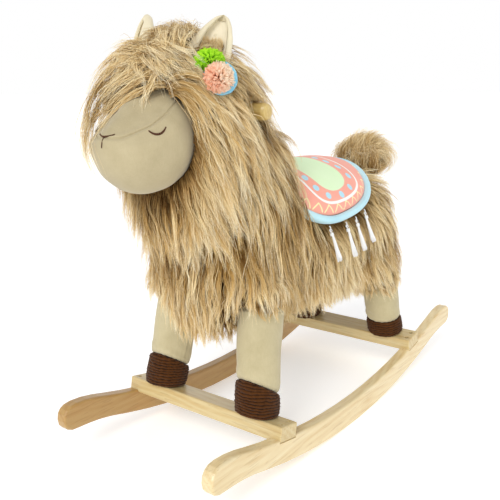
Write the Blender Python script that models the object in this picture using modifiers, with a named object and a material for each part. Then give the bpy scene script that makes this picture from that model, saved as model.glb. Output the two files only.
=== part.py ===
"""Plush rocking animal on a wooden rocker base.

Metres, +Z up. The origin is on the floor under the middle of the base, the animal faces -Y and
its left side is +X. The runners touch the floor at Y = 0.
"""

import math

import bmesh
import bpy
from mathutils import Matrix, Vector

# ---------------------------------------------------------------- driving dimensions
GAP = 0.0003                 # clearance between touching pieces

BASE_WIDTH = 0.280           # over the outer faces of the runners
RUNNER_THICK = 0.018
RUNNER_FRONT = 0.3620         # from the middle of the base to the front end
RUNNER_REAR = 0.3752
RUNNER_TOP_MID = 0.0375      # height of the runner's top edge at its middle
RUNNER_TOP_RADIUS = 1.056
RUNNER_FLOOR_RADIUS = 0.960  # the rolling edge
RUNNER_EDGE_ROUND = 0.0028

BAR_SPACING = 0.4018         # between the two crossbars' centre lines
BAR_WIDTH = 0.0386
BAR_THICK = 0.0213
BAR_TOP_Z = 0.0749
BAR_TILT = math.radians(10.8)

SCREW_INSET = RUNNER_THICK / 2
SCREW_PITCH = 0.0184
SCREW_HEAD_R = 0.0031
SCREW_SHANK_R = 0.0018

LEG_X = 0.0855
LEG_SPLAY = math.radians(5.0)
LEG_R = 0.0300
LEG_TOP_R = 0.0315
LEG_LENGTH = {"front": 0.155, "rear": 0.130}   # along the leg, from the crossbar to inside the body
POST_R = 0.0120
HOOF_R = 0.0308
HOOF_FRONT_HEIGHT = 0.0385
HOOF_FRONT_SLANT = 0.42      # the front hooves are cut higher at the toe
HOOF_REAR_HEIGHT = 0.0300
BOLT_R = 0.0030

SEAT_Z = (0.2350, 0.2470)    # hidden board that the posts carry
SEAT_HALF = (0.075, 0.194)
NECK_BOARD = (0.022, 0.054)  # thickness across, width fore and aft
NECK_Y = -0.190
NECK_TOP_Z = 0.512

HANDLE_R = 0.0110
HANDLE_LENGTH = 0.194
HANDLE_Y = -0.188
HANDLE_Z = 0.481

# Outer size of the long-pile cover: centre and half sizes of the rounded masses it is made of.
TORSO = ((0.0, 0.045, 0.271), (0.108, 0.235, 0.118))
BODY_MASSES = (
    TORSO,
    ((0.0, 0.160, 0.250), (0.112, 0.108, 0.112)),
    ((0.0, -0.176, 0.312), (0.106, 0.090, 0.150)),
    ((0.0, -0.150, 0.360), (0.102, 0.098, 0.120)),
    ((0.0, -0.200, 0.440), (0.094, 0.090, 0.130)),
    ((0.0, -0.262, 0.488), (0.094, 0.080, 0.080)),
    ((0.0, -0.256, 0.466), (0.100, 0.060, 0.088)),
    ((0.070, -0.177, 0.235), (0.049, 0.058, 0.040)),
    ((-0.070, -0.177, 0.235), (0.049, 0.058, 0.040)),
    ((0.068, 0.172, 0.202), (0.048, 0.057, 0.052)),
    ((-0.068, 0.172, 0.202), (0.048, 0.057, 0.052)),
)
HEAD_JOIN_POINT = (0.0, -0.300, 0.366)   # the head's cover is sewn to the neck on this plane
HEAD_JOIN_NORMAL = Vector((0.0, -0.592, 0.806)).normalized()

FACE_CENTRE = Vector((0.0, -0.3093, 0.4527))
FACE_R = 0.0634
BRIDGE_TURN = math.radians(34.0)     # the nose bridge's two flat sides face this far out and up
BRIDGE_RISE = math.radians(45.4)
BRIDGE_DEPTH = 0.688                 # and lie at this share of the radius from the middle
FACE_HAIRLINE_Y = -0.289

EAR_BASES = {"left": Vector((0.0520, -0.2500, 0.5470)), "right": Vector((-0.0600, -0.2500, 0.5560))}
EAR_HEIGHT = 0.0520
EAR_WIDTH = 0.0560
EAR_THICK = 0.0070
EAR_TURN = math.radians(17.0)    # faces outward by this much
EAR_LEAN_OUT = math.radians(10.0)
EAR_LEAN_BACK = math.radians(13.0)
EAR_TIP_OUT = 0.0140              # the tip stands this far outward of the middle of the foot

SADDLE_Y = 0.000
SADDLE_REACH = (0.106, 0.150)    # from there to its front and its rear edge
SADDLE_HALF_DRAPE = 0.1335       # from the spine down each flank
SADDLE_POWER = 2.30              # roundness of its outline
SADDLE_THICK = 0.0125
SADDLE_SUNK = 0.0020
BORDER_WIDTH = 0.0110

TASSEL_Y = (-0.039, 0.000, 0.029, 0.062)
TASSEL_LENGTH = 0.0530
TASSEL_LEAN = math.radians(20.0)

TAIL_PIVOT = Vector((0.0, 0.240, 0.322))
TAIL_CENTRE = Vector((0.0, 0.264, 0.382))
TAIL_HALF = (0.060, 0.070, 0.040)

POMPOM_R = 0.0170
POMPOM_GREEN_FLAT = 0.74          # the green one is pressed down to this share of its height
POMPOM_GREEN = Vector((0.0755, -0.2755, 0.5425))
POMPOM_CORAL = Vector((0.0925, -0.2796, 0.5219))
FELT_R = 0.0200
FELT_THICK = 0.0045
FELT_FACES = Vector((0.80, -0.52, 0.28)).normalized()
FELT_SHIFT = Vector((0.0038, 0.0037, 0.0024))   # it shows past the coral pompom on its rear side

# ---------------------------------------------------------------- scene set-up
for old in list(bpy.data.objects):
    bpy.data.objects.remove(old, do_unlink=True)

PARTS = bpy.data.collections.new("plush_rocking_animal")
CUTTERS = bpy.data.collections.new("cutters")
for made in (PARTS, CUTTERS):
    bpy.context.scene.collection.children.link(made)
CUTTERS.hide_render = True

MATERIALS = {}


def material(name, colour, roughness, metallic=0.0):
    if name not in MATERIALS:
        mat = bpy.data.materials.new(name)
        mat.use_nodes = True
        shader = mat.node_tree.nodes["Principled BSDF"]
        shader.inputs["Base Color"].default_value = (*colour, 1.0)
        shader.inputs["Roughness"].default_value = roughness
        shader.inputs["Metallic"].default_value = metallic
        mat.diffuse_color = (*colour, 1.0)
        MATERIALS[name] = mat
    return MATERIALS[name]


# ---------------------------------------------------------------- helpers
def shade(mesh, angle=math.radians(35)):
    mesh.shade_smooth()
    mesh.set_sharp_from_angle(angle=angle)


def add_mesh(name, bm, mat=None, matrix=None, cutter=False, smooth=True):
    mesh = bpy.data.meshes.new(name)
    bmesh.ops.recalc_face_normals(bm, faces=bm.faces)
    if bm.calc_volume(signed=True) < 0:
        bmesh.ops.reverse_faces(bm, faces=bm.faces)
    bm.to_mesh(mesh)
    bm.free()
    obj = bpy.data.objects.new(name, mesh)
    (CUTTERS if cutter else PARTS).objects.link(obj)
    if matrix is not None:
        obj.matrix_world = matrix
    if cutter:
        obj.hide_render = True
        obj.display_type = "WIRE"
    else:
        mesh.materials.append(mat)
        if smooth:
            shade(mesh)
    return obj


def box(name, size, matrix, mat=None, cutter=False, offset=(0, 0, 0)):
    bm = bmesh.new()
    bmesh.ops.create_cube(bm, size=1.0)
    bmesh.ops.scale(bm, vec=Vector(size), verts=bm.verts)
    bmesh.ops.translate(bm, vec=Vector(offset), verts=bm.verts)
    return add_mesh(name, bm, mat, matrix, cutter)


def cylinder_bm(radius, low, high, segments, top_radius=None):
    bm = bmesh.new()
    bmesh.ops.create_cone(
        bm, cap_ends=True, cap_tris=False, segments=segments, radius1=radius,
        radius2=radius if top_radius is None else top_radius, depth=high - low,
    )
    bmesh.ops.translate(bm, vec=Vector((0, 0, (low + high) / 2)), verts=bm.verts)
    return bm


def cylinder(name, radius, low, high, matrix, mat=None, segments=20, cutter=False):
    return add_mesh(name, cylinder_bm(radius, low, high, segments), mat, matrix, cutter)


def turned(name, profile, matrix, mat, steps=12):
    """A profile of (radius, height) pairs, top to bottom, turned about Z."""
    bm = bmesh.new()
    verts = [bm.verts.new((r, 0, z)) for r, z in profile]
    for a, b in zip(verts, verts[1:]):
        bm.edges.new((a, b))
    mesh = bpy.data.meshes.new(name)
    bm.to_mesh(mesh)
    bm.free()
    mesh.materials.append(mat)
    obj = bpy.data.objects.new(name, mesh)
    PARTS.objects.link(obj)
    obj.matrix_world = matrix
    screw = obj.modifiers.new("turn", "SCREW")
    screw.axis = "Z"
    screw.steps = screw.render_steps = steps
    screw.use_merge_vertices = True
    screw.merge_threshold = 0.00002
    screw.use_smooth_shade = True
    return obj


def cut(obj, cutter, keep=False):
    boolean = obj.modifiers.new("cut_" + cutter.name, "BOOLEAN")
    boolean.operation = "INTERSECT" if keep else "DIFFERENCE"
    boolean.solver = "EXACT"
    boolean.object = cutter


def round_edges(obj, width, segments=2, angle=35):
    bevel = obj.modifiers.new("round", "BEVEL")
    bevel.width = width
    bevel.segments = segments
    bevel.limit_method = "ANGLE"
    bevel.angle_limit = math.radians(angle)
    bevel.use_clamp_overlap = True


def ellipsoid_into(bm, centre, half, u=24, v=14):
    made = bmesh.ops.create_uvsphere(bm, u_segments=u, v_segments=v, radius=1.0)["verts"]
    bmesh.ops.scale(bm, vec=Vector(half), verts=made)
    bmesh.ops.translate(bm, vec=Vector(centre), verts=made)


def frame(origin, z_axis, x_hint=Vector((1, 0, 0))):
    """Matrix with its Z along z_axis and its X as near x_hint as it can be."""
    z = Vector(z_axis).normalized()
    x = (x_hint - z * x_hint.dot(z)).normalized()
    y = z.cross(x)
    turn = Matrix((x, y, z)).transposed().to_4x4()
    return Matrix.Translation(Vector(origin)) @ turn


# ---------------------------------------------------------------- materials
WOOD = material("lacquered_pine", (0.80, 0.68, 0.44), 0.38)
HIDDEN_WOOD = material("plain_wood", (0.72, 0.58, 0.38), 0.60)
STEEL = material("zinc_steel", (0.35, 0.34, 0.32), 0.45, 1.0)
FUR = material("long_pile", (0.56, 0.42, 0.27), 0.90)
VELOUR = material("cream_velour", (0.78, 0.68, 0.52), 0.85)
LINING = material("ear_lining", (0.74, 0.60, 0.44), 0.85)
CORDUROY = material("brown_corduroy", (0.11, 0.055, 0.03), 0.90)
PRINT = material("printed_velour", (0.93, 0.47, 0.38), 0.80)
BORDER = material("blue_velour", (0.60, 0.85, 0.90), 0.80)
WHITE_YARN = material("white_yarn", (0.88, 0.88, 0.86), 0.85)
GREEN_YARN = material("green_yarn", (0.36, 0.66, 0.06), 0.90)
CORAL_YARN = material("coral_yarn", (0.95, 0.42, 0.34), 0.90)
FELT = material("blue_felt", (0.28, 0.66, 0.85), 0.85)
THREAD = material("brown_thread", (0.16, 0.07, 0.04), 0.70)


# ---------------------------------------------------------------- runners
def runner_top(y, end):
    """Height of the top edge. It levels off 65 mm before the end."""
    y = abs(y)
    inner = min(y, end - 0.065)
    z = RUNNER_TOP_MID + inner * inner / (2 * RUNNER_TOP_RADIUS)
    if y > inner:
        slope = inner / RUNNER_TOP_RADIUS
        run = y - inner
        z += slope * run - (slope + 0.05) * run * run / (2 * 0.052)
    return z


def runner_floor(y, end):
    """Height of the rolling edge. It levels off 95 mm before the end, which stops the base from tipping."""
    y = abs(y)
    inner = min(y, end - 0.095)
    z = inner * inner / (2 * RUNNER_FLOOR_RADIUS)
    if y > inner:
        slope = inner / RUNNER_FLOOR_RADIUS
        run = y - inner
        z += slope * run - slope * run * run / (2 * 0.075)
    return z


def half_outline(end):
    """(distance, height) along the top to the end, round it, and back along the rolling edge."""
    shares = (0.0, 0.12, 0.24, 0.35, 0.46, 0.57, 0.68, 0.77, 0.83, 0.885, 0.935)
    top = [(end * k, runner_top(end * k, end)) for k in shares]
    floor = [(end * k, runner_floor(end * k, end)) for k in shares[:-1]]
    y0, z0 = top[-1]
    y1, z1 = end * 0.925, runner_floor(end * 0.925, end)
    middle = (z0 + z1) / 2 - 0.001
    nose = []
    for i in range(1, 8):
        a = math.pi / 2 - math.pi * i / 8
        height = (z0 - middle) if a > 0 else (middle - z1)
        nose.append((
            y0 + (end - y0) * abs(math.cos(a)) ** 0.80,
            middle + height * math.copysign(abs(math.sin(a)) ** 0.80, a),
        ))
    return top, nose + [(y1, z1)], floor


def runner_outline():
    """Closed outline in (y, z), front end first."""
    top_f, nose_f, floor_f = half_outline(RUNNER_FRONT)
    top_r, nose_r, floor_r = half_outline(RUNNER_REAR)
    front = top_f + nose_f + floor_f[:0:-1]
    rear = floor_r + nose_r[::-1] + top_r[:0:-1]
    return [(-y, z) for y, z in front] + rear


def make_runner(name, side):
    curve = bpy.data.curves.new(name, "CURVE")
    curve.dimensions = "2D"
    curve.fill_mode = "BOTH"
    curve.extrude = RUNNER_THICK / 2
    points = runner_outline()
    spline = curve.splines.new("POLY")
    spline.points.add(len(points) - 1)
    for point, (y, z) in zip(spline.points, points):
        point.co = (y, z, 0.0, 1.0)
    spline.use_cyclic_u = True
    guide = bpy.data.objects.new(name + "_outline", curve)
    bpy.context.scene.collection.objects.link(guide)
    # The curve's X runs along the runner and its Y runs up.
    guide.matrix_world = Matrix(((0, 0, 1, side * (BASE_WIDTH - RUNNER_THICK) / 2),
                                 (1, 0, 0, 0), (0, 1, 0, 0), (0, 0, 0, 1)))
    bpy.context.view_layer.update()
    mesh = bpy.data.meshes.new_from_object(guide.evaluated_get(bpy.context.evaluated_depsgraph_get()))
    obj = bpy.data.objects.new(name, mesh)
    mesh.name = name
    PARTS.objects.link(obj)
    obj.matrix_world = guide.matrix_world.copy()
    bpy.data.objects.remove(guide, do_unlink=True)
    bm = bmesh.new()
    bm.from_mesh(mesh)
    bmesh.ops.remove_doubles(bm, verts=bm.verts, dist=0.00001)
    bmesh.ops.dissolve_limit(bm, angle_limit=0.001, verts=bm.verts, edges=bm.edges)
    bmesh.ops.recalc_face_normals(bm, faces=bm.faces)
    bm.to_mesh(mesh)
    bm.free()
    mesh.materials.clear()
    mesh.materials.append(WOOD)
    shade(mesh, math.radians(30))
    round_edges(obj, RUNNER_EDGE_ROUND, 2, 40)
    return obj


runners = {"left": make_runner("rocker_left", 1), "right": make_runner("rocker_right", -1)}

# ---------------------------------------------------------------- crossbars, screws, legs
bars = {}
bar_frames = {}
for end, sign in (("front", -1), ("rear", 1)):
    tilt = Matrix.Rotation(sign * BAR_TILT, 4, "X")
    normal = (tilt @ Vector((0, 0, 1, 0))).to_3d()
    centre = Vector((0, sign * BAR_SPACING / 2, BAR_TOP_Z)) - normal * BAR_THICK / 2
    matrix = Matrix.Translation(centre) @ tilt
    bar_frames[end] = (matrix, normal)
    bar = box(end + "_crossbar", (BASE_WIDTH - 0.0004, BAR_WIDTH, BAR_THICK), matrix, WOOD)
    round_edges(bar, 0.0012, 1)
    bars[end] = bar
    notch = box("notch_" + end, (BASE_WIDTH + 0.02, BAR_WIDTH + 2 * GAP, BAR_THICK + 0.03), matrix,
                cutter=True, offset=(0, 0, 0.015 - GAP))
    for runner in runners.values():
        cut(runner, notch)

SCREW_PROFILE = (
    (0.0, 0.0), (SCREW_HEAD_R, 0.0), (SCREW_HEAD_R, -0.0009), (SCREW_SHANK_R, -0.0022),
    (SCREW_SHANK_R, -0.0290), (0.0, -0.0330),
)
number = 0
for end in ("front", "rear"):
    matrix, normal = bar_frames[end]
    for side, word in ((1, "left"), (-1, "right")):
        x = side * (BASE_WIDTH / 2 - SCREW_INSET)
        for k in (-1, 1):
            number += 1
            place = matrix @ Matrix.Translation((x, k * SCREW_PITCH / 2, BAR_THICK / 2))
            recess = cylinder(f"recess_{number}", SCREW_HEAD_R + 0.0005, -0.0055, 0.004, place,
                              segments=14, cutter=True)
            hole = cylinder(f"screw_hole_{number}", SCREW_SHANK_R + 0.0004, -0.0450, 0.004, place,
                            segments=10, cutter=True)
            cut(bars[end], recess)
            cut(bars[end], hole)
            cut(runners[word], hole)
            sunk = place @ Matrix.Translation((0, 0, -0.0030))
            turned(f"base_screw_{number}", SCREW_PROFILE, sunk, STEEL, 10)

seat = box("seat_board", (2 * SEAT_HALF[0], 2 * SEAT_HALF[1], SEAT_Z[1] - SEAT_Z[0]),
           Matrix.Translation((0, 0, sum(SEAT_Z) / 2)), HIDDEN_WOOD)
body_cutters = [
    box("seat_space", (2 * SEAT_HALF[0] + 2 * GAP, 2 * SEAT_HALF[1] + 2 * GAP,
                       SEAT_Z[1] - SEAT_Z[0] + 2 * GAP),
        Matrix.Translation((0, 0, sum(SEAT_Z) / 2)), cutter=True)
]


def to_plane(bm, matrix, low_plane, high_plane):
    """Moves a cylinder's two ends along its axis until they lie on two planes (point, normal)."""
    inverse = matrix.inverted()
    for vert in bm.verts:
        point, normal = low_plane if vert.co.z < 0 else high_plane
        local_point = inverse @ point
        local_normal = (inverse.to_3x3() @ normal).normalized()
        vert.co.z = local_point.z - (
            local_normal.x * (vert.co.x - local_point.x) + local_normal.y * (vert.co.y - local_point.y)
        ) / local_normal.z


for end, ysign in (("front", -1), ("rear", 1)):
    bar_matrix, normal = bar_frames[end]
    for side, word in ((1, "left"), (-1, "right")):
        which = f"{end}_{word}"
        foot = bar_matrix @ Vector((side * LEG_X, 0, BAR_THICK / 2))
        axis = Vector((-side * math.tan(LEG_SPLAY), -ysign * math.tan(BAR_TILT), 1.0)).normalized()
        leg = frame(foot, axis)
        rest = (foot + normal * GAP, normal)

        # hidden wooden post, cut off square to the crossbar and to the seat board
        bm = cylinder_bm(POST_R, -0.1, 0.1, 16)
        to_plane(bm, leg, rest, (Vector((0, 0, SEAT_Z[0] - GAP)), Vector((0, 0, 1))))
        post = add_mesh(f"leg_post_{which}", bm, HIDDEN_WOOD, leg)

        # bolt up through the crossbar into the post
        bolt_frame = bar_matrix @ Matrix.Translation((side * LEG_X, 0, -BAR_THICK / 2))
        top = BAR_THICK + 0.0280
        turned(f"leg_bolt_{which}", (
            (0.0, top), (BOLT_R * 0.8, top), (BOLT_R, top - 0.001), (BOLT_R, 0.0046),
            (0.0066, 0.0046), (0.0066, 0.0022), (0.0045, 0.0010), (0.0, 0.0008),
        ), bolt_frame, STEEL, 12)
        shank = cylinder(f"bolt_hole_{which}", BOLT_R + 0.0003, -0.01, top + 0.0006, bolt_frame,
                         segments=12, cutter=True)
        sink = cylinder(f"bolt_sink_{which}", 0.0076, -0.01, 0.0049, bolt_frame, segments=16,
                        cutter=True)
        cut(bars[end], shank)
        cut(bars[end], sink)
        cut(post, shank)

        # corduroy hoof and stuffed velour leg, both sleeved over the post
        slant = Vector((0, HOOF_FRONT_SLANT if end == "front" else 0.0, 0))
        height = HOOF_FRONT_HEIGHT if end == "front" else HOOF_REAR_HEIGHT
        hoof_normal = (normal + slant * 1.0).normalized()
        join = foot + axis * height
        bore = cylinder(f"post_space_{which}", POST_R + GAP, -0.05, 0.20, leg, segments=16,
                        cutter=True)
        bm = cylinder_bm(HOOF_R, -0.1, 0.1, 20)
        to_plane(bm, leg, rest, (join, hoof_normal))
        hoof = add_mesh(f"hoof_{which}", bm, CORDUROY, leg)
        round_edges(hoof, 0.0030, 1)
        cut(hoof, bore)
        bm = cylinder_bm(LEG_R, -0.1, 0.1, 20, LEG_TOP_R)
        to_plane(bm, leg, (join + hoof_normal * GAP, hoof_normal), (foot + axis * LEG_LENGTH[end], axis))
        sleeve = add_mesh(f"leg_{which}", bm, VELOUR, leg)
        round_edges(sleeve, 0.0025, 1)
        cut(sleeve, bore)
        body_cutters.append(bore)
        body_cutters.append(cylinder(f"leg_space_{which}", LEG_TOP_R + 0.0004, -0.03,
                                     LEG_LENGTH[end] + 0.0004, leg, segments=20, cutter=True))

# ---------------------------------------------------------------- neck board and handle
neck_low = SEAT_Z[1] + GAP
neck = box("neck_board", (NECK_BOARD[0], NECK_BOARD[1], NECK_TOP_Z - neck_low),
           Matrix.Translation((0, NECK_Y, (neck_low + NECK_TOP_Z) / 2)), HIDDEN_WOOD)
neck_space = box("neck_space", (NECK_BOARD[0] + 2 * GAP, NECK_BOARD[1] + 2 * GAP,
                                NECK_TOP_Z - neck_low + 2 * GAP + 0.01),
                 Matrix.Translation((0, NECK_Y, (neck_low + NECK_TOP_Z) / 2 - 0.005)), cutter=True)
handle_frame = frame((0, HANDLE_Y, HANDLE_Z), (1, 0, 0), Vector((0, 1, 0)))
handle = cylinder("handle_dowel", HANDLE_R, -HANDLE_LENGTH / 2, HANDLE_LENGTH / 2, handle_frame,
                  WOOD, 20)
round_edges(handle, 0.0055, 2)
handle_space = cylinder("handle_space", HANDLE_R + GAP, -0.15, 0.15, handle_frame, segments=20,
                        cutter=True)
cut(neck, handle_space)

# ---------------------------------------------------------------- face
CHIN_WAY = Vector((0.0, -0.62, -0.78)).normalized()
BRIDGE_WAYS = [Vector((side * math.sin(BRIDGE_TURN) * math.cos(BRIDGE_RISE),
                       -math.cos(BRIDGE_TURN) * math.cos(BRIDGE_RISE), math.sin(BRIDGE_RISE)))
               for side in (1, -1)]


def face_radius(way):
    """A ball, fuller at the chin, that two soft flats narrow to a nose bridge above."""
    ball_r = FACE_R * (1.0 + 0.061 * max(0.0, way.dot(CHIN_WAY)) ** 3)
    total = ball_r ** -14
    for flat in BRIDGE_WAYS:
        total += (max(way.dot(flat), 0.000001) / (BRIDGE_DEPTH * FACE_R)) ** 14
    return total ** (-1 / 14)


def face_bm(grow=0.0, u=24, v=14):
    bm = bmesh.new()
    bmesh.ops.create_uvsphere(bm, u_segments=u, v_segments=v, radius=1.0)
    for vert in bm.verts:
        way = vert.co.normalized()
        vert.co = FACE_CENTRE + way * (face_radius(way) + grow)
    return bm


face = add_mesh("face", face_bm(), VELOUR)
face_space = add_mesh("face_space", face_bm(0.0004), cutter=True)
hair_opening = cylinder(
    "hair_opening", 0.150, 0.0, 0.2,
    frame((0, FACE_HAIRLINE_Y, FACE_CENTRE.z), (0, -1, 0)), segments=32, cutter=True,
)

# ---------------------------------------------------------------- long-pile cover
def cover(name, keep_head):
    bm = bmesh.new()
    for centre, half in BODY_MASSES:
        ellipsoid_into(bm, centre, half)
    obj = add_mesh(name, bm, FUR)
    remesh = obj.modifiers.new("skin", "REMESH")
    remesh.mode = "VOXEL"
    remesh.voxel_size = 0.0125
    remesh.use_smooth_shade = True
    smooth = obj.modifiers.new("soften", "SMOOTH")
    smooth.factor = 0.5
    smooth.iterations = 2
    thin = obj.modifiers.new("thin", "DECIMATE")
    thin.ratio = 0.22
    plane = frame(HEAD_JOIN_POINT, HEAD_JOIN_NORMAL)
    # A large block on one side of the sewn join removes the other half.
    block = box(name + "_other_half", (0.6, 1.2, 0.8), plane, cutter=True,
                offset=(0, 0, -0.4 + GAP / 2 if keep_head else 0.4 - GAP / 2))
    cut(obj, block)
    return obj


body = cover("body_cover", False)
head = cover("head_cover", True)
for cutter in body_cutters:
    cut(body, cutter)
for obj in (body, head):
    cut(obj, neck_space)
cut(head, handle_space)
cut(head, face_space)
cut(head, hair_opening)
cut(body, face_space)

# ---------------------------------------------------------------- saddle
(TX, TY, TZ), (TA, TB, TH) = TORSO


def on_back(drape, along, lift):
    """Point on the torso: drape runs from the spine down the left flank, along runs aft."""
    y = SADDLE_Y + along
    scale = math.sqrt(max(0.02, 1 - ((y - TY) / TB) ** 2))
    a, h = TA * scale, TH * scale
    angle = drape / (0.5 * (TA + TH) * (0.35 + 0.65 * scale))
    nx, nz = math.sin(angle) / a, math.cos(angle) / h
    ny = (y - TY) / TB ** 2 * (1 if scale > 0.15 else 0)
    point = Vector((a * math.sin(angle), y, TZ + h * math.cos(angle)))
    normal = Vector((nx, ny, nz)).normalized()
    return point + normal * lift


def saddle_edge(angle, inset=0.0):
    """(drape, along) on the saddle's outline, a squared-off oval."""
    c, s = math.cos(angle), math.sin(angle)
    power = 2 / SADDLE_POWER
    reach = SADDLE_REACH[0 if s < 0 else 1]
    return (
        (SADDLE_HALF_DRAPE - inset) * math.copysign(abs(c) ** power, c),
        (reach - inset) * math.copysign(abs(s) ** power, s),
    )


def saddle_disc(inset, low, high, rings=5, around=32):
    """Disc on the back between two heights above it, from the outline inward."""
    bm = bmesh.new()
    layers = []
    for lift in (low, high):
        centre = bm.verts.new(on_back(0, 0, lift))
        rows = []
        for ring in range(1, rings + 1):
            share = ring / rings
            row = []
            for k in range(around):
                d, t = saddle_edge(2 * math.pi * k / around, inset)
                row.append(bm.verts.new(on_back(d * share, t * share, lift)))
            rows.append(row)
        layers.append((centre, rows))
    for centre, rows in layers:
        for k in range(around):
            n = (k + 1) % around
            bm.faces.new((centre, rows[0][k], rows[0][n]))
            for inner, outer in zip(rows, rows[1:]):
                bm.faces.new((inner[k], outer[k], outer[n], inner[n]))
    for k in range(around):
        n = (k + 1) % around
        bm.faces.new((layers[0][1][-1][k], layers[0][1][-1][n], layers[1][1][-1][n], layers[1][1][-1][k]))
    return bm


pad = add_mesh("saddle_pad", saddle_disc(BORDER_WIDTH + 3 * GAP, -SADDLE_SUNK, SADDLE_THICK), PRINT)
round_edges(pad, 0.0018, 1, 50)


def border_ring(grow, low, high, around=32):
    bm = bmesh.new()
    rows = []
    for k in range(around):
        angle = 2 * math.pi * k / around
        outer, inner = saddle_edge(angle, -grow), saddle_edge(angle, BORDER_WIDTH + grow)
        rows.append([bm.verts.new(on_back(*place, lift)) for place, lift in (
            (outer, low), (outer, high - 0.003), (saddle_edge(angle, 0.003 - grow), high),
            (inner, high), (inner, low))])
    for k in range(around):
        a, b = rows[k], rows[(k + 1) % around]
        for j in range(5):
            m = (j + 1) % 5
            bm.faces.new((a[j], a[m], b[m], b[j]))
    return bm


border = add_mesh("saddle_border", border_ring(0.0, -SADDLE_SUNK, SADDLE_THICK), BORDER)
bed = add_mesh("saddle_bed", saddle_disc(-0.0010, -SADDLE_SUNK - 0.0024, SADDLE_THICK + 0.0024), cutter=True)
cut(body, bed)

# ---------------------------------------------------------------- tassels
def drape_at(along):
    """How far down the flank the saddle's outline runs at this place fore and aft."""
    share = min(1.0, abs(along) / SADDLE_REACH[0 if along < 0 else 1])
    return SADDLE_HALF_DRAPE * (1 - share ** SADDLE_POWER) ** (1 / SADDLE_POWER)


TASSEL_PROFILE = (
    (0.0, -0.0012), (0.0013, -0.0016), (0.0013, -0.0075), (0.0031, -0.0090), (0.0031, -0.0125),
    (0.0022, -0.0145), (0.0034, -0.0300), (0.0046, -TASSEL_LENGTH), (0.0, -TASSEL_LENGTH),
)
for side, word in ((1, "left"), (-1, "right")):
    for i, y in enumerate(TASSEL_Y, 1):
        along = y - SADDLE_Y
        hang = on_back(drape_at(along) + 0.0004, along, 0.0030)
        hang.x += 0.0052
        hang.z -= 0.0030
        hang.x *= side
        axis = Vector((-side * math.sin(TASSEL_LEAN), -0.03, math.cos(TASSEL_LEAN)))
        turned(f"tassel_{word}_{i}", TASSEL_PROFILE, frame(hang, axis), WHITE_YARN, 8)

# ---------------------------------------------------------------- tail
bm = bmesh.new()
ellipsoid_into(bm, TAIL_CENTRE - TAIL_PIVOT, TAIL_HALF, 20, 12)
made = bmesh.ops.create_cone(bm, cap_ends=True, segments=14, radius1=0.0125, radius2=0.020,
                             depth=0.030)["verts"]
bmesh.ops.translate(bm, vec=Vector((0, 0.004, 0.018)), verts=made)
tail = add_mesh("tail", bm, FUR, Matrix.Translation(TAIL_PIVOT))
remesh = tail.modifiers.new("skin", "REMESH")
remesh.mode = "VOXEL"
remesh.voxel_size = 0.0065
remesh.use_smooth_shade = True
thin = tail.modifiers.new("thin", "DECIMATE")
thin.ratio = 0.20
# A round hollow in the rump, centred on the wagging axis, takes the tail's root.
tail_space = cylinder("tail_space", 0.0235, -0.0010, 0.06, Matrix.Translation(TAIL_PIVOT),
                      segments=20, cutter=True)
cut(body, tail_space)

# ---------------------------------------------------------------- ears
def ear_sheet(width, height, lift, thick, side, rows=7, columns=5):
    """A cupped, pointed leaf standing on its base, its hollow facing -Y, as a closed solid."""
    bm = bmesh.new()
    grid = []
    for facing in (0, 1):
        layer = []
        for r in range(rows):
            t = r / (rows - 1)
            half = width / 2 * 0.90 * (1 - t ** 1.8) ** 0.70 if r < rows - 1 else width * 0.075
            shift = side * EAR_TIP_OUT * height / EAR_HEIGHT * t ** 1.4
            row = []
            for c in range(columns):
                u = -1 + 2 * c / (columns - 1)
                cup = 0.17 * width * (1 - u * u) * (1 - 0.5 * t)
                y = cup - lift - (thick if facing else 0.0) * (1 - 0.45 * abs(u) ** 3)
                row.append(bm.verts.new((half * u + shift, y + 0.10 * height * t * t, height * t)))
            layer.append(row)
        grid.append(layer)
    back, front = grid
    for r in range(rows - 1):
        for c in range(columns - 1):
            bm.faces.new((back[r][c], back[r][c + 1], back[r + 1][c + 1], back[r + 1][c]))
            bm.faces.new((front[r][c], front[r + 1][c], front[r + 1][c + 1], front[r][c + 1]))
    for r in range(rows - 1):
        for c in (0, columns - 1):
            bm.faces.new((back[r][c], back[r + 1][c], front[r + 1][c], front[r][c]))
    for c in range(columns - 1):
        for r in (0, rows - 1):
            bm.faces.new((back[r][c], front[r][c], front[r][c + 1], back[r][c + 1]))
    return bm


LINING_UP = 0.0030


def ear_shapes(side):
    """The ear's leaf and its lining, both in the ear's own frame."""
    leaf = ear_sheet(EAR_WIDTH, EAR_HEIGHT, 0.0, EAR_THICK, side)
    lining = ear_sheet(EAR_WIDTH * 0.72, EAR_HEIGHT * 0.80, EAR_THICK + 0.0026, 0.0018, side, 6, 5)
    bmesh.ops.translate(lining, vec=Vector((0, 0, LINING_UP)), verts=lining.verts)
    return leaf, lining


def ear_swing_space(name, place, side):
    """Hollow in the head's cover that holds the foot of an ear wherever it is bent to."""
    bm = bmesh.new()
    for degrees in (-34, -22, -11, 0, 7, 14):
        turn = Matrix.Rotation(math.radians(degrees), 3, "X")
        for shape in ear_shapes(side):
            for vert in shape.verts:
                if vert.co.z < 0.8 * EAR_HEIGHT:
                    bm.verts.new(turn @ vert.co)
            shape.free()
    hull = bmesh.ops.convex_hull(bm, input=bm.verts)
    bmesh.ops.delete(bm, geom=list(set(hull["geom_interior"] + hull["geom_unused"])), context="VERTS")
    middle = sum((vert.co for vert in bm.verts), Vector()) / len(bm.verts)
    bmesh.ops.translate(bm, vec=-middle, verts=bm.verts)
    bmesh.ops.scale(bm, vec=Vector((1.05, 1.05, 1.05)), verts=bm.verts)
    bmesh.ops.translate(bm, vec=middle, verts=bm.verts)
    return add_mesh(name, bm, matrix=place, cutter=True)


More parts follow.
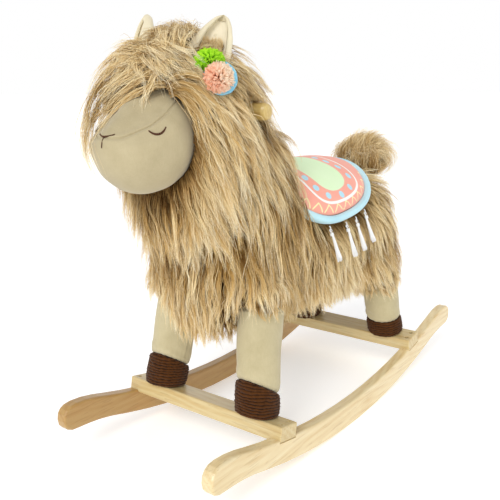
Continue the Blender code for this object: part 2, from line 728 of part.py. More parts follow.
for side, word in ((1, "left"), (-1, "right")):
    turn = (Matrix.Rotation(side * EAR_TURN, 4, "Z") @ Matrix.Rotation(side * EAR_LEAN_OUT, 4, "Y")
            @ Matrix.Rotation(-EAR_LEAN_BACK, 4, "X"))
    place = Matrix.Translation(EAR_BASES[word]) @ turn
    leaf, lining = ear_shapes(side)
    ear = add_mesh(f"ear_{word}", leaf, VELOUR, place)
    round_edges(ear, 0.0015, 1, 50)
    add_mesh(f"ear_lining_{word}", lining, LINING, place)
    cut(head, ear_swing_space(f"ear_space_{word}", place, side))

# ---------------------------------------------------------------- pompoms by the left ear
def ball(name, centre, radius, mat, flat=1.0, u=16, v=10):
    bm = bmesh.new()
    ellipsoid_into(bm, (0, 0, 0), (radius, radius, radius * flat), u, v)
    return add_mesh(name, bm, mat, Matrix.Translation(centre))


green = ball("pompom_green", POMPOM_GREEN, POMPOM_R, GREEN_YARN, POMPOM_GREEN_FLAT)
coral = ball("pompom_coral", POMPOM_CORAL, POMPOM_R, CORAL_YARN)
felt_frame = frame(POMPOM_CORAL - FELT_FACES * 0.0105 + FELT_SHIFT, FELT_FACES)
felt = cylinder("felt_disc", FELT_R, -FELT_THICK / 2, FELT_THICK / 2, felt_frame, FELT, 24)
coral_space = ball("coral_space", POMPOM_CORAL, POMPOM_R + 0.0004, CORAL_YARN)
green_space = ball("green_space", POMPOM_GREEN, POMPOM_R + 0.0004, GREEN_YARN, POMPOM_GREEN_FLAT)
for obj in (coral_space, green_space):
    PARTS.objects.unlink(obj)
    CUTTERS.objects.link(obj)
    obj.hide_render = True
    obj.display_type = "WIRE"
cut(green, coral_space)
cut(felt, coral_space)
cut(felt, green_space)
felt_space = cylinder("felt_space", FELT_R + GAP, -FELT_THICK / 2 - GAP, FELT_THICK / 2 + GAP,
                      felt_frame, segments=24, cutter=True)
for cutter in (coral_space, green_space, felt_space):
    cut(head, cutter)

# ---------------------------------------------------------------- embroidery
def on_face(right, up, lift):
    """Point on the face at this many degrees left of and above straight ahead."""
    a, e = math.radians(right), math.radians(up)
    way = Vector((math.sin(a) * math.cos(e), -math.cos(a) * math.cos(e), math.sin(e)))
    return FACE_CENTRE + way * (face_radius(way) + lift)


def stitch_line(name, points, radius):
    curve = bpy.data.curves.new(name, "CURVE")
    curve.dimensions = "3D"
    curve.bevel_depth = radius
    curve.bevel_resolution = 1
    curve.use_fill_caps = True
    curve.materials.append(THREAD)
    spline = curve.splines.new("POLY")
    spline.points.add(len(points) - 1)
    for point, co in zip(spline.points, points):
        point.co = (*co, 1.0)
    obj = bpy.data.objects.new(name, curve)
    PARTS.objects.link(obj)
    return obj


for side, word in ((1, "left"), (-1, "right")):
    lid = []
    for k in range(9):
        u = -1 + k / 4
        lid.append(on_face(side * (62.0 + 9.8 * u), 8.0 + 1.2 * u + 6.0 * u * u, 0.0011))
    stitch_line(f"eye_stitch_{word}", lid, 0.0007)
stitch_line("nose_stitch", [on_face(a, e, 0.0011) for a, e in (
    (-12.0, 7.7), (-6.0, 6.6), (0.0, 5.2), (6.0, 6.6), (12.0, 7.7))], 0.0008)
stitch_line("mouth_stitch", [on_face(0.0, e, 0.0011) for e in (3.2, -1.0, -5.2)], 0.0007)
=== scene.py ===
import math

import bmesh
import bpy
import numpy as np
from mathutils import Matrix, Vector

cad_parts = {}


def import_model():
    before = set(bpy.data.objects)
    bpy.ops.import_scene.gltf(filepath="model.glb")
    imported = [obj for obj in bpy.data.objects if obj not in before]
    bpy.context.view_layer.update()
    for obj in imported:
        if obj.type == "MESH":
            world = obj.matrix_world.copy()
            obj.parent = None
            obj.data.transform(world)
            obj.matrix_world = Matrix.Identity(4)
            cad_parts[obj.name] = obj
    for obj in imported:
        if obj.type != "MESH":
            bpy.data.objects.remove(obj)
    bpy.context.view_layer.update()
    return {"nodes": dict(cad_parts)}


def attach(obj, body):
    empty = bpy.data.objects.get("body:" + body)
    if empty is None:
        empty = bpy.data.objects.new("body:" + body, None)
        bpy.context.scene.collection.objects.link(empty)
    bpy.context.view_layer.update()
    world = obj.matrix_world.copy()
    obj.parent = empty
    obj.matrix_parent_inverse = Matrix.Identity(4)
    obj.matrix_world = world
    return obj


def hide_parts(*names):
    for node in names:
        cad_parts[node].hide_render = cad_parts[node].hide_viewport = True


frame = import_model()
NODES = frame["nodes"]

# ---------------------------------------------------------------- sizes repeated from the CAD, in metres
TORSO = ((0.0, 0.045, 0.271), (0.108, 0.235, 0.118))
BODY_MASSES = (
    TORSO,
    ((0.0, 0.160, 0.250), (0.112, 0.108, 0.112)),
    ((0.0, -0.176, 0.312), (0.106, 0.090, 0.150)),
    ((0.0, -0.150, 0.360), (0.102, 0.098, 0.120)),
    ((0.0, -0.200, 0.440), (0.094, 0.090, 0.130)),
    ((0.0, -0.262, 0.488), (0.094, 0.080, 0.080)),
    ((0.0, -0.256, 0.466), (0.100, 0.060, 0.088)),
    ((0.070, -0.177, 0.235), (0.049, 0.058, 0.040)),
    ((-0.070, -0.177, 0.235), (0.049, 0.058, 0.040)),
    ((0.068, 0.172, 0.202), (0.048, 0.057, 0.052)),
    ((-0.068, 0.172, 0.202), (0.048, 0.057, 0.052)),
)
FACE_CENTRE = np.array((0.0, -0.3093, 0.4527))
FACE_R = 0.0634
CHIN_WAY = np.array((0.0, -0.62, -0.78)) / math.hypot(0.62, 0.78)
BRIDGE_TURN, BRIDGE_RISE, BRIDGE_DEPTH = math.radians(34.0), math.radians(45.4), 0.688
HAIRLINE_Y = -0.289
# the head's hair stands a little further back than the cover's solid, and meets the face all round
HAIR_MASSES = BODY_MASSES[:4] + (
    ((0.0, -0.244, 0.496), (0.093, 0.078, 0.082)),
    ((0.0, -0.250, 0.466), (0.098, 0.060, 0.088)),
    ((0.0, -0.206, 0.425), (0.096, 0.098, 0.130)),
    ((0.0, -0.262, 0.386), (0.072, 0.046, 0.058)),
) + BODY_MASSES[7:]

EAR_BASES = {"left": (0.0520, -0.2500, 0.5470), "right": (-0.0600, -0.2500, 0.5560)}
EAR_HEIGHT, EAR_WIDTH, EAR_THICK, LINING_UP = 0.0520, 0.0560, 0.0070, 0.0030
EAR_TIP_OUT = 0.0140
EAR_TURN, EAR_LEAN_OUT, EAR_LEAN_BACK = math.radians(17.0), math.radians(10.0), math.radians(13.0)

BAR_SPACING, BAR_TOP_Z, BAR_TILT = 0.4018, 0.0749, math.radians(10.8)
LEG_X, LEG_SPLAY, LEG_R, LEG_TOP_R = 0.0855, math.radians(5.0), 0.0300, 0.0315
LEG_LENGTH = {"front": 0.155, "rear": 0.130}
HOOF_R, HOOF_FRONT_HEIGHT, HOOF_FRONT_SLANT, HOOF_REAR_HEIGHT = 0.0308, 0.0385, 0.42, 0.0300

SADDLE_Y, SADDLE_REACH, SADDLE_HALF_DRAPE, SADDLE_POWER = 0.000, (0.106, 0.150), 0.1335, 2.30
SADDLE_THICK, BORDER_WIDTH = 0.0125, 0.0110
TASSEL_Y, TASSEL_LENGTH, TASSEL_LEAN = (-0.039, 0.000, 0.029, 0.062), 0.0530, math.radians(20.0)

HANDLE_R, HANDLE_HALF, HANDLE_Y, HANDLE_Z = 0.0110, 0.097, -0.188, 0.481
TAIL_PIVOT = (0.0, 0.240, 0.322)
TAIL_CENTRE, TAIL_HALF = (0.0, 0.264, 0.382), (0.060, 0.070, 0.040)
POMPOM_R, POMPOM_GREEN_FLAT = 0.0170, 0.74
POMPOM_GREEN, POMPOM_CORAL = (0.0755, -0.2755, 0.5425), (0.0925, -0.2796, 0.5219)
FELT_R, FELT_THICK, FELT_SHIFT = 0.0200, 0.0045, (0.0038, 0.0037, 0.0024)
FELT_FACES = np.array((0.80, -0.52, 0.28)) / math.sqrt(0.80**2 + 0.52**2 + 0.28**2)

PILE = 0.024        # depth of the long pile, from its backing to the cover's outer shape

# ---------------------------------------------------------------- small helpers


def unit(v):
    return v / np.maximum(np.linalg.norm(v, axis=-1, keepdims=True), 1e-12)


def smooth(low, high, value):
    t = np.clip((value - low) / (high - low), 0.0, 1.0)
    return t * t * (3 - 2 * t)


def mottle(points, size, seed, waves=7):
    """Slow random variation between about -1 and 1, over this size in metres."""
    rng = np.random.default_rng(seed)
    ways = unit(rng.normal(size=(waves, 3))) * (2 * math.pi / size) * rng.uniform(0.6, 1.5, (waves, 1))
    phase = rng.uniform(0, 2 * math.pi, waves)
    return np.sin(points @ ways.T + phase).sum(axis=-1) / math.sqrt(waves) * 0.9


def put(name, points, faces, look, body="root", uv=None, shaded=True, marks=None):
    """One mesh piece from arrays, all faces with the same number of corners."""
    points = np.ascontiguousarray(points, np.float32).reshape(-1, 3)
    faces = np.ascontiguousarray(faces, np.int32)
    mesh = bpy.data.meshes.new(name)
    count, corners = faces.shape
    mesh.vertices.add(len(points))
    mesh.vertices.foreach_set("co", points.ravel())
    mesh.loops.add(count * corners)
    mesh.loops.foreach_set("vertex_index", faces.ravel())
    mesh.polygons.add(count)
    mesh.polygons.foreach_set("loop_start", np.arange(0, count * corners, corners, dtype=np.int32))
    if uv is not None:
        layer = mesh.uv_layers.new(name="OFBake")
        layer.uv.foreach_set("vector", np.ascontiguousarray(uv, np.float32).ravel())
    for mark, values in (marks or {}).items():
        made = mesh.attributes.new(mark, "FLOAT", "POINT")
        made.data.foreach_set("value", np.ascontiguousarray(values, np.float32).ravel())
    mesh.update(calc_edges=True)
    if shaded:
        mesh.shade_smooth()
    mesh.materials.append(look)
    obj = bpy.data.objects.new(name, mesh)
    bpy.context.scene.collection.objects.link(obj)
    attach(obj, body)
    return obj


def outward(points, faces):
    """Turns a closed shape's faces so that they look out."""
    a, b, c = (points[faces[:, i]] for i in (0, 1, 2))
    volume = np.einsum("ij,ij->i", a, np.cross(b, c)).sum()
    if faces.shape[1] == 4:
        d = points[faces[:, 3]]
        volume += np.einsum("ij,ij->i", a, np.cross(c, d)).sum()
    return faces if volume > 0 else faces[:, ::-1]


def grid_faces(rows, columns, closed=False, base=0):
    """Quads over a rows by columns grid of points; closed joins the last column to the first."""
    r = np.arange(rows - 1)[:, None]
    c = np.arange(columns if closed else columns - 1)[None, :]
    n = (c + 1) % columns
    quads = np.stack([r * columns + c, r * columns + n, (r + 1) * columns + n, (r + 1) * columns + c], -1)
    return quads.reshape(-1, 4) + base


def tubes(lines, radius, sides=5):
    """Round threads along lines (N, J, 3), with radius (N, J), capped by narrowing their two ends."""
    lines = np.asarray(lines, float)
    count, steps = lines.shape[:2]
    radius = np.broadcast_to(np.asarray(radius, float), (count, steps))
    along = unit(np.gradient(lines, axis=1))
    hint = np.where(np.abs(along[..., 2:3]) > 0.9, np.array((1.0, 0, 0)), np.array((0, 0, 1.0)))
    a = unit(np.cross(along, hint))
    b = np.cross(along, a)
    turn = np.arange(sides) * 2 * math.pi / sides
    ring = (a[:, :, None] * np.cos(turn)[None, None, :, None] + b[:, :, None] * np.sin(turn)[None, None, :, None])
    points = lines[:, :, None] + ring * radius[:, :, None, None]
    first = lines[:, :1, None] + ring[:, :1] * radius[:, :1, None, None] * 0.15
    last = lines[:, -1:, None] + ring[:, -1:] * radius[:, -1:, None, None] * 0.15
    points = np.concatenate([first, points, last], axis=1)
    one = grid_faces(steps + 2, sides, True)
    faces = (one[None] + (np.arange(count) * (steps + 2) * sides)[:, None, None]).reshape(-1, 4)
    return points.reshape(-1, 3), faces[:, ::-1], steps + 2


# ---------------------------------------------------------------- materials
class Look:
    """A procedural material built round one Principled shader."""

    def __init__(self, name, roughness, **fixed):
        self.mat = bpy.data.materials.new(name)
        self.mat.use_nodes = True
        self.tree = self.mat.node_tree
        self.shader = self.tree.nodes["Principled BSDF"]
        self.shader.inputs["Roughness"].default_value = roughness
        for socket, value in fixed.items():
            self.shader.inputs[socket.replace("_", " ")].default_value = value

    def node(self, kind, inputs=None, **settings):
        made = self.tree.nodes.new("ShaderNode" + kind)
        for setting, value in settings.items():
            setattr(made, setting, value)
        for socket, value in (inputs or {}).items():
            target = made.inputs[socket]
            if isinstance(value, bpy.types.NodeSocket):
                self.tree.links.new(value, target)
            else:
                target.default_value = value
        return made

    def place(self, scale=(1.0, 1.0, 1.0), turn=(0.0, 0.0, 0.0)):
        where = self.node("TexCoord").outputs["Object"]
        return self.node("Mapping", {"Vector": where, "Scale": scale, "Rotation": turn}).outputs["Vector"]

    def noise(self, where, scale, detail=3.0, rough=0.55):
        return self.node("TexNoise", {"Vector": where, "Scale": scale, "Detail": detail, "Roughness": rough}).outputs["Fac"]

    def math(self, operation, *values):
        made = self.node("Math", operation=operation)
        for socket, value in zip(made.inputs, values):
            if isinstance(value, bpy.types.NodeSocket):
                self.tree.links.new(value, socket)
            else:
                socket.default_value = value
        return made.outputs[0]

    def mix(self, factor, a, b, blend="MIX"):
        made = self.node("Mix", data_type="RGBA", blend_type=blend)
        for socket, value in ((made.inputs[0], factor), (made.inputs[6], a), (made.inputs[7], b)):
            if isinstance(value, bpy.types.NodeSocket):
                self.tree.links.new(value, socket)
            else:
                socket.default_value = value if isinstance(value, float) else (*value, 1.0)
        return made.outputs[2]

    def ramp(self, factor, *stops):
        made = self.node("ValToRGB", {"Fac": factor})
        bands = made.color_ramp.elements
        while len(bands) < len(stops):
            bands.new(0.5)
        for band, (at, colour) in zip(bands, stops):
            band.position = at
            band.color = (*colour, 1.0)
        return made.outputs["Color"]

    def mark(self, name):
        return self.node("Attribute", attribute_name=name).outputs["Fac"]

    def colour(self, value):
        self.tree.links.new(value, self.shader.inputs["Base Color"])
        return self

    def rough(self, value):
        self.tree.links.new(value, self.shader.inputs["Roughness"])
        return self

    def bump(self, height, distance, strength=1.0):
        made = self.node("Bump", {"Height": height, "Distance": distance, "Strength": strength})
        self.tree.links.new(made.outputs["Normal"], self.shader.inputs["Normal"])
        return self


def pine(name, stretch, turn=(0.0, 0.0, 0.0), tint_and_painted_shade=(1.0, 1.0, 1.0)):
    """Pale lacquered pine. stretch is large across the grain and small along it."""
    look = Look(name, 0.36, Coat_Weight=0.18, Coat_Roughness=0.25)
    where = look.place(stretch, turn)
    warp = look.noise(look.place((7.0, 7.0, 7.0)), 1.0, 2.0)
    drift = look.node("TexNoise", {"Vector": look.place((5.0, 5.0, 5.0)), "Scale": 1.0, "Detail": 1.0}).outputs["Color"]
    drift = look.node("VectorMath", {0: drift, 1: (1.3, 1.3, 1.3)}, operation="MULTIPLY").outputs[0]
    bent = look.node("VectorMath", {0: where, 1: drift}, operation="ADD").outputs[0]
    streaks = look.noise(bent, 1.6, 7.0, 0.70)
    rings = look.node("TexWave", {"Vector": bent, "Scale": 1.05, "Distortion": 2.2, "Detail": 3.0,
                                  "Detail Scale": 1.4}, wave_type="BANDS", bands_direction="DIAGONAL").outputs["Fac"]
    grain = look.math("ADD", look.math("MULTIPLY", rings, 0.13), look.math("MULTIPLY", streaks, 0.90))
    base = look.ramp(grain, (0.22, (0.860, 0.745, 0.490)), (0.48, (0.795, 0.640, 0.360)), (0.68, (0.700, 0.505, 0.230)),
                     (0.92, (0.520, 0.320, 0.110)))
    base = look.mix(look.math("MULTIPLY", warp, 0.22), base, (0.830, 0.700, 0.440))
    pores = look.noise(look.place(tuple(s * 7.0 for s in stretch), turn), 1.0, 3.0)
    base = look.mix(look.math("MULTIPLY", look.math("GREATER_THAN", pores, 0.61), 0.26), base, (0.420, 0.240, 0.080))
    # This multiplies the colour: on the far runner it is painted shade, on the crossbars and the handle it makes the
    # pine darker and warmer.
    base = look.mix(1.0, base, tint_and_painted_shade, "MULTIPLY")
    look.colour(base)
    look.rough(look.math("ADD", look.math("MULTIPLY", streaks, 0.20), 0.26))
    look.bump(grain, 0.00022, 0.5)
    return look.mat


def rough_wood(name):
    look = Look(name, 0.72)
    streaks = look.noise(look.place((60.0, 60.0, 8.0)), 1.0, 5.0)
    look.colour(look.ramp(streaks, (0.25, (0.74, 0.58, 0.36)), (0.75, (0.56, 0.39, 0.20))))
    look.bump(streaks, 0.0004)
    return look.mat


def steel(name):
    look = Look(name, 0.42, Metallic=0.9)
    scratches = look.noise(look.place((900.0, 900.0, 900.0)), 1.0, 2.0)
    look.colour(look.ramp(scratches, (0.3, (0.30, 0.29, 0.27)), (0.7, (0.46, 0.45, 0.43))))
    look.rough(look.math("ADD", look.math("MULTIPLY", scratches, 0.3), 0.28))
    return look.mat


def velour(name, light, mid, deep):
    """Short brushed pile: a fine nap, cloudy where it has been stroked."""
    look = Look(name, 0.88, Sheen_Weight=0.28, Sheen_Roughness=0.45, Specular_IOR_Level=0.15)
    cloud = look.noise(look.place(), 26.0, 3.0)
    nap = look.noise(look.place(), 950.0, 2.0, 0.7)
    weave = look.noise(look.place((1.0, 1.0, 0.22)), 620.0, 1.0)
    tone = look.math("ADD", look.math("MULTIPLY", cloud, 0.62),
                     look.math("ADD", look.math("MULTIPLY", nap, 0.25), look.math("MULTIPLY", weave, 0.15)))
    look.colour(look.ramp(tone, (0.30, deep), (0.50, mid), (0.72, light)))
    look.bump(nap, 0.00035, 0.55)
    return look.mat


def pile(name, rows, sheen=0.0):
    """Long strands. The map's V runs from root to tip, and its U goes from the warm strands to the pale ones."""
    look = Look(name, 0.58, Specular_IOR_Level=0.12, Sheen_Weight=sheen)
    place = look.node("UVMap", uv_map="OFBake").outputs["UV"]
    parts = look.node("SeparateXYZ", {"Vector": place})
    u, v = parts.outputs["X"], parts.outputs["Y"]
    warm, pale = (look.ramp(v, *row) for row in rows)
    look.colour(look.mix(u, warm, pale))
    return look.mat


def print_look(name):
    """The saddle's printed velour, from the distances marked on its mesh."""
    look = Look(name, 0.82, Sheen_Weight=0.22, Sheen_Roughness=0.5, Specular_IOR_Level=0.15)
    nap = look.noise(look.place(), 900.0, 2.0, 0.7)
    cloud = look.noise(look.place(), 30.0, 2.0)

    def above(value, limit):
        # an edge about half a millimetre soft
        return look.node("MapRange", {"Value": value, "From Min": limit - 0.00025, "From Max": limit + 0.00025}).outputs[0]

    coral = look.mix(cloud, (0.930, 0.330, 0.235), (0.960, 0.420, 0.320))
    mint = look.mix(cloud, (0.690, 0.910, 0.530), (0.760, 0.940, 0.620))
    sky = look.mix(cloud, (0.400, 0.720, 0.860), (0.480, 0.780, 0.900))
    base = look.mix(above(look.mark("zigzag"), 0.0), coral, (0.970, 0.830, 0.420))
    base = look.mix(above(look.mark("line"), 0.0), base, (0.960, 0.950, 0.900))
    base = look.mix(above(look.mark("dots"), 0.0), base, sky)
    base = look.mix(above(look.mark("centre"), 0.0), base, mint)
    base = look.mix(look.math("MULTIPLY", nap, 0.12), base, (1.0, 0.97, 0.93))
    look.colour(base)
    look.bump(nap, 0.0003, 0.5)
    return look.mat


def cord_look(name):
    look = Look(name, 0.92, Sheen_Weight=0.12, Specular_IOR_Level=0.1)
    rib = look.mark("rib")
    fuzz = look.noise(look.place(), 1100.0, 2.0, 0.7)
    cloud = look.noise(look.place(), 55.0, 3.0)
    # Painted shade: the grooves between the ribs are coloured near black and the rib tops brown, keyed to the rib's
    # height.
    base = look.mix(rib, (0.007, 0.0020, 0.0005), (0.092, 0.030, 0.0055))
    base = look.mix(look.math("MULTIPLY", look.math("MULTIPLY", cloud, rib), 0.45), base, (0.135, 0.050, 0.010))
    base = look.mix(look.math("MULTIPLY", fuzz, 0.30), base, (0.040, 0.013, 0.003))
    look.colour(base)
    look.bump(fuzz, 0.0004, 0.6)
    return look.mat


def plain_cloth(name, light, deep, scale=700.0, fixed=None):
    look = Look(name, 0.85, Specular_IOR_Level=0.15, **(fixed or {}))
    fuzz = look.noise(look.place(), scale, 3.0, 0.7)
    look.colour(look.ramp(fuzz, (0.32, deep), (0.68, light)))
    look.bump(fuzz, 0.0003, 0.6)
    return look.mat


FUR_ROWS = (
    ((0.0, (0.030, 0.010, 0.001)), (0.25, (0.150, 0.064, 0.010)), (0.55, (0.470, 0.270, 0.072)),
     (0.80, (0.740, 0.500, 0.190)), (1.0, (0.870, 0.680, 0.340))),
    ((0.0, (0.140, 0.065, 0.014)), (0.25, (0.560, 0.345, 0.125)), (0.55, (0.960, 0.790, 0.450)),
     (0.80, (0.995, 0.900, 0.640)), (1.0, (0.998, 0.950, 0.770))),
)
LOOKS = {
    "runner": pine("runner_pine", (55.0, 3.2, 55.0)),
    # The far runner is painted darker and oranger than the near one, as painted shade.
    "far_runner_painted_shade": pine("far_runner_pine", (55.0, 3.2, 55.0), tint_and_painted_shade=(0.60, 0.45, 0.26)),
    "bar": pine("crossbar_pine", (3.2, 55.0, 55.0), tint_and_painted_shade=(0.82, 0.80, 0.70)),
    "handle": pine("handle_pine", (4.0, 90.0, 90.0), (0.4, 0.0, 0.0), tint_and_painted_shade=(0.80, 0.72, 0.44)),
    "hidden_wood": rough_wood("plain_softwood"),
    "steel": steel("zinc_screws"),
    "fur": pile("long_pile_strands", FUR_ROWS),
    "backing": plain_cloth("pile_backing", (0.090, 0.040, 0.010), (0.040, 0.016, 0.003), 180.0),
    "velour": velour("cream_velour_nap", (0.590, 0.520, 0.325), (0.530, 0.460, 0.280), (0.460, 0.395, 0.230)),
    "face": velour("face_velour_nap", (0.530, 0.455, 0.285), (0.475, 0.402, 0.245), (0.410, 0.342, 0.200)),
    # The ears and their linings are painted much lighter than the legs' velour, as painted light that cancels the shade
    # in their hollows.
    "ear": velour("ear_velour_painted_light", (0.860, 0.790, 0.590), (0.790, 0.710, 0.510), (0.710, 0.620, 0.420)),
    "lining": velour("ear_lining_painted_light", (0.930, 0.870, 0.690), (0.880, 0.800, 0.610), (0.790, 0.700, 0.500)),
    "cord": cord_look("brown_corduroy_painted_groove_shade"),
    "print": print_look("printed_velour_pad"),
    "border": velour("blue_velour_roll", (0.560, 0.820, 0.880), (0.500, 0.770, 0.850), (0.430, 0.700, 0.800)),
    "white": plain_cloth("white_yarn_strands", (0.960, 0.960, 0.950), (0.860, 0.865, 0.865), 1400.0),
    # Pompom yarn: each row darkens towards the yarn's root deep in the pompom, as painted shade, and the paler row goes
    # on the side that faces the light, as painted light.
    "green": pile("green_yarn_painted_light_and_shade", (((0.0, (0.030, 0.140, 0.006)), (0.5, (0.120, 0.400, 0.012)), (1.0, (0.270, 0.680, 0.020))),
                                       ((0.0, (0.090, 0.280, 0.010)), (0.5, (0.360, 0.760, 0.018)), (1.0, (0.600, 0.950, 0.045))))),
    "coral": pile("coral_yarn_painted_light_and_shade", (((0.0, (0.560, 0.150, 0.060)), (0.5, (0.880, 0.340, 0.190)), (1.0, (0.950, 0.480, 0.300))),
                                       ((0.0, (0.780, 0.440, 0.260)), (0.5, (0.970, 0.760, 0.540)), (1.0, (0.990, 0.870, 0.700))))),
    "felt": plain_cloth("blue_felt_fibres", (0.330, 0.690, 0.860), (0.200, 0.540, 0.740), 500.0),
    "thread": plain_cloth("brown_stitch_thread", (0.135, 0.060, 0.034), (0.060, 0.025, 0.014), 1500.0),
}

# ---------------------------------------------------------------- CAD nodes that stay
NODES["rocker_left"].material_slots[0].material = LOOKS["runner"]
NODES["rocker_right"].material_slots[0].material = LOOKS["far_runner_painted_shade"]
for name in ("front_crossbar", "rear_crossbar"):
    NODES[name].material_slots[0].material = LOOKS["bar"]
NODES["handle_dowel"].material_slots[0].material = LOOKS["handle"]
for name, node in NODES.items():
    if name.startswith(("leg_post", "seat_board", "neck_board")):
        node.material_slots[0].material = LOOKS["hidden_wood"]
    if name.startswith(("base_screw", "leg_bolt")):
        node.material_slots[0].material = LOOKS["steel"]

# ---------------------------------------------------------------- the cover's shape as a distance
def ellipsoid_distance(points, centre, half):
    q = (points - np.array(centre)) / np.array(half)
    k0 = np.maximum(np.linalg.norm(q, axis=-1), 1e-9)
    g = q / np.array(half)
    k1 = np.maximum(np.linalg.norm(g, axis=-1), 1e-9)
    return k0 * (k0 - 1.0) / k1, g / k1[..., None]


def union_distance(points, masses, blend=200.0):
    """(distance, outward way) from the soft union of the masses."""
    total = np.zeros(points.shape[:-1])
    way = np.zeros(points.shape)
    for centre, half in masses:
        d, g = ellipsoid_distance(points, centre, half)
        w = np.exp(-np.clip(d, -0.2, 0.3) * blend)
        total += w
        way += g * w[..., None]
    return -np.log(np.maximum(total, 1e-30)) / blend, unit(way)


def cover_distance(points):
    """The same for the long pile of body and head."""
    return union_distance(points, HAIR_MASSES)


def face_radius(way):
    ball_r = FACE_R * (1.0 + 0.061 * np.maximum(0.0, way @ CHIN_WAY) ** 3)
    total = ball_r**-14
    for side in (1, -1):
        flat = np.array((side * math.sin(BRIDGE_TURN) * math.cos(BRIDGE_RISE),
                         -math.cos(BRIDGE_TURN) * math.cos(BRIDGE_RISE), math.sin(BRIDGE_RISE)))
        total = total + (np.maximum(way @ flat, 1e-6) / (BRIDGE_DEPTH * FACE_R)) ** 14
    return total ** (-1 / 14)


def face_way(right, up):
    a, e = np.radians(right), np.radians(up)
    return np.stack([np.sin(a) * np.cos(e), -np.cos(a) * np.cos(e), np.sin(e) + 0 * a], -1)


def on_face(right, up, lift=0.0):
    way = face_way(np.asarray(right, float), np.asarray(up, float))
    return FACE_CENTRE + way * (face_radius(way) + lift)[..., None]


# ---------------------------------------------------------------- the saddle's shape
(TX, TY, TZ), (TA, TB, TH) = TORSO


def on_back(drape, along, lift):
    drape, along = np.broadcast_arrays(np.asarray(drape, float), np.asarray(along, float))
    y = SADDLE_Y + along
    scale = np.sqrt(np.maximum(0.02, 1 - ((y - TY) / TB) ** 2))
    a, h = TA * scale, TH * scale
    angle = drape / (0.5 * (TA + TH) * (0.35 + 0.65 * scale))
    normal = unit(np.stack([np.sin(angle) / a, (y - TY) / TB**2, np.cos(angle) / h], -1))
    point = np.stack([a * np.sin(angle), y, TZ + h * np.cos(angle)], -1)
    return point + normal * np.asarray(lift)[..., None]


def back_place(points):
    """(drape, along, lift) of points near the torso, the reverse of on_back."""
    x, y, z = points[..., 0], points[..., 1], points[..., 2]
    scale = np.sqrt(np.maximum(0.02, 1 - ((y - TY) / TB) ** 2))
    a, h = TA * scale, TH * scale
    angle = np.arctan2(x / a, (z - TZ) / h)
    lift = (np.hypot(x / a, (z - TZ) / h) - 1) * 0.5 * (a + h)
    return angle * 0.5 * (TA + TH) * (0.35 + 0.65 * scale), y - SADDLE_Y, lift


def saddle_edge(angle, inset=0.0):
    c, s = np.cos(angle), np.sin(angle)
    power = 2 / SADDLE_POWER
    reach = np.where(s < 0, SADDLE_REACH[0], SADDLE_REACH[1])
    return ((SADDLE_HALF_DRAPE - inset) * np.sign(c) * np.abs(c) ** power,
            (reach - inset) * np.sign(s) * np.abs(s) ** power)


def saddle_inside(drape, along, grow=0.0):
    """How far inside the saddle's outline, roughly in metres; below 0 is outside."""
    reach = np.where(along < 0, SADDLE_REACH[0], SADDLE_REACH[1]) + grow
    r = ((np.abs(drape) / (SADDLE_HALF_DRAPE + grow)) ** SADDLE_POWER + (np.abs(along) / reach) ** SADDLE_POWER) ** (1 / SADDLE_POWER)
    return (1 - r) * 0.13


# ---------------------------------------------------------------- long pile
EAR_FRAMES = {}
for side, word in ((1, "left"), (-1, "right")):
    EAR_FRAMES[word] = (
        Matrix.Translation(EAR_BASES[word]) @ Matrix.Rotation(side * EAR_TURN, 4, "Z")
        @ Matrix.Rotation(side * EAR_LEAN_OUT, 4, "Y") @ Matrix.Rotation(-EAR_LEAN_BACK, 4, "X")
    )


